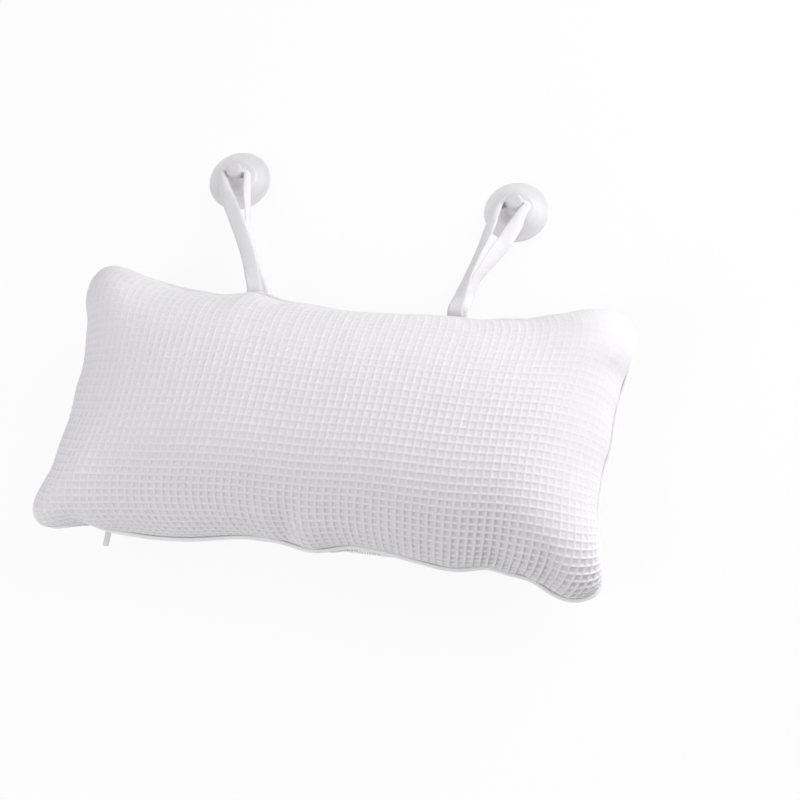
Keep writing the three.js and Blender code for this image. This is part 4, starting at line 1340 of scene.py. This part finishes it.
# Outline of the tape's cut end, rolled up by an angle: points across the width, there and back.
def tapeOutline(curl):
    share = np.linspace(-1, 1, 11)
    if curl < 0.02:
        middle = np.stack([share * tape["width"] / 2, 0 * share], -1)
        normal = np.stack([0 * share, 0 * share + 1], -1)
    else:
        radius = tape["width"] / curl
        angle = share * curl / 2
        middle = radius * np.stack([np.sin(angle), np.cos(angle) - math.cos(curl / 2) * 0.5 - 0.5], -1)
        normal = np.stack([np.sin(angle), np.cos(angle)], -1)
    wall = tape["thickness"] / 2 * (1 - 0.55 * np.abs(share) ** 6)[:, None]
    return np.concatenate([middle - wall * normal, (middle + wall * normal)[::-1]])


# Knots of one half of a strap, from the hole's mouth down to the sewn end
def legKnots(hole, root, leg, side):
    mouth, bend = tape["knobRadius"] + tape["mouthGap"], tape["bend"]
    knots = [hole + [side * mouth, 0, 0], hole + [side * (mouth + 0.75 * bend), -0.3 * bend, 0]]
    knots += [hole + (root - hole) * run + [aside, 0, lift] for run, aside, lift, unused in leg[1:]]
    low = cushion["seamHeight"] - tape["tailDrop"] - side * tape["rootStack"]
    for back, level in (
        (2.2, 0.45 * cushion["seamHeight"] + 0.55 * low - 0.4 * side),
        (4.4, low),
        (tape["tailReach"], low - 0.3),
    ):
        knots.append(np.array([knots[-1][0], tape["bendLine"] - back, level]))
    return knots


def strapMesh(name, strap):
    hole = np.array([*strap["cup"], cup["holeHeight"]])
    root = np.array([strap["root"], tape["bendLine"], cushion["seamHeight"]])
    first, second = [legKnots(hole, root, strap["legs"][side], side) for side in (-1, 1)]
    line, even = smoothLine([*first[::-1], hole, *second], tape["stations"])
    middle = int(np.argmin(np.linalg.norm(line - hole, axis=1)))
    legLength = np.linalg.norm(root - hole)
    ease = 0.6 * tape["bend"]
    fromMouth = np.abs(even - even[middle]) - tape["knobRadius"] - tape["mouthGap"] - ease
    run = np.clip(fromMouth / (legLength - ease), 0, 1.4)
    heading = np.gradient(line, axis=0)
    heading /= np.linalg.norm(heading, axis=1, keepdims=True)
    bendAxis = np.cross(xAxis, (root - hole) / legLength)
    bendAxis /= np.linalg.norm(bendAxis)
    curl = tape["curl"] * (1 - smoothStep(*tape["uncurl"], run))
    legCurl = tape["legCurl"] * smoothStep(*tape["legCurlIn"], run) * (1 - smoothStep(*tape["legCurlOut"], run))
    curl = curl + legCurl
    rings = []
    for index, (place, forward) in enumerate(zip(line, heading)):
        side = -1 if index < middle else 1
        if run[index] <= 0:
            across = bendAxis - forward * np.dot(bendAxis, forward)
        else:
            flat = xAxis - forward * forward[0]
            flat = flat / max(np.linalg.norm(flat), 1e-6)
            flat = flat + (xAxis - flat) * smoothStep(0.6, 1, run[index])
            leg = np.array(strap["legs"][side])
            twist = math.radians(np.interp(run[index], leg[:, 0], leg[:, 3]))
            across = side * (flat * math.cos(twist) - np.cross(forward, flat) * math.sin(twist))
        across = across / np.linalg.norm(across)
        outline = tapeOutline(float(curl[index]))
        rings.append(place + outline[:, :1] * across + outline[:, 1:] * np.cross(forward, across))
    return skinMesh(name, rings, even)


def addStraps():
    cotton = wovenCloth("cottonTape", tape["cloth"])
    for half, strap in straps.items():
        name = "strap" + half.capitalize()
        piece = addPiece(name, strapMesh(name, strap), cotton)
        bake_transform(piece)
        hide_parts("strap_" + half)


addStraps()
print("straps: both tapes run from the seam through the knobs")


def cupMesh(name, place):
    work = bmesh.new()
    profile = [work.verts.new((radius * mm, 0, height * mm)) for radius, height in cup["profile"]]
    edges = [work.edges.new(pair) for pair in zip(profile[:-1], profile[1:])]
    bmesh.ops.spin(
        work,
        geom=profile + edges,
        cent=(0, 0, 0),
        axis=(0, 0, 1),
        angle=2 * math.pi,
        steps=cup["segments"],
        use_merge=True,
    )
    bmesh.ops.remove_doubles(work, verts=work.verts, dist=1e-6)
    bmesh.ops.recalc_face_normals(work, faces=work.faces)
    turned = addPiece(name + "Turned", meshOf(work, bpy.data.meshes.new(name)))
    work = bmesh.new()
    radius = cup["holeRadius"] * mm
    bmesh.ops.create_cone(
        work, cap_ends=True, segments=cup["holeSegments"], radius1=radius, radius2=radius, depth=cup["holeLength"] * mm
    )
    bmesh.ops.rotate(work, cent=(0, 0, 0), matrix=Matrix.Rotation(math.pi / 2, 3, "Y"), verts=work.verts)
    bmesh.ops.translate(work, vec=(0, 0, cup["holeHeight"] * mm), verts=work.verts)
    drill = addPiece("drill", meshOf(work, bpy.data.meshes.new("drill")))
    cutter = turned.modifiers.new("hole", "BOOLEAN")
    cutter.operation = "DIFFERENCE"
    cutter.solver = "EXACT"
    cutter.object = drill
    graph = bpy.context.evaluated_depsgraph_get()
    drilled = bpy.data.meshes.new_from_object(turned.evaluated_get(graph), depsgraph=graph)
    bpy.data.objects.remove(turned)
    bpy.data.objects.remove(drill)
    drilled.transform(Matrix.Translation((place[0] * mm, place[1] * mm, 0)))
    smoothFaces(drilled).set_sharp_from_angle(angle=math.radians(50))
    return drilled


clearVinyl = hardMaterial("clearVinyl", cup["colour"], cup["vinyl"], **cup["finish"])
for half, strap in straps.items():
    name = "suctionCup" + half.capitalize()
    piece = addPiece(name, cupMesh(name, strap["cup"]), clearVinyl)
    tie(piece, half + "_cup", "suction_cup_" + half)
print("cups: both are turned and drilled")
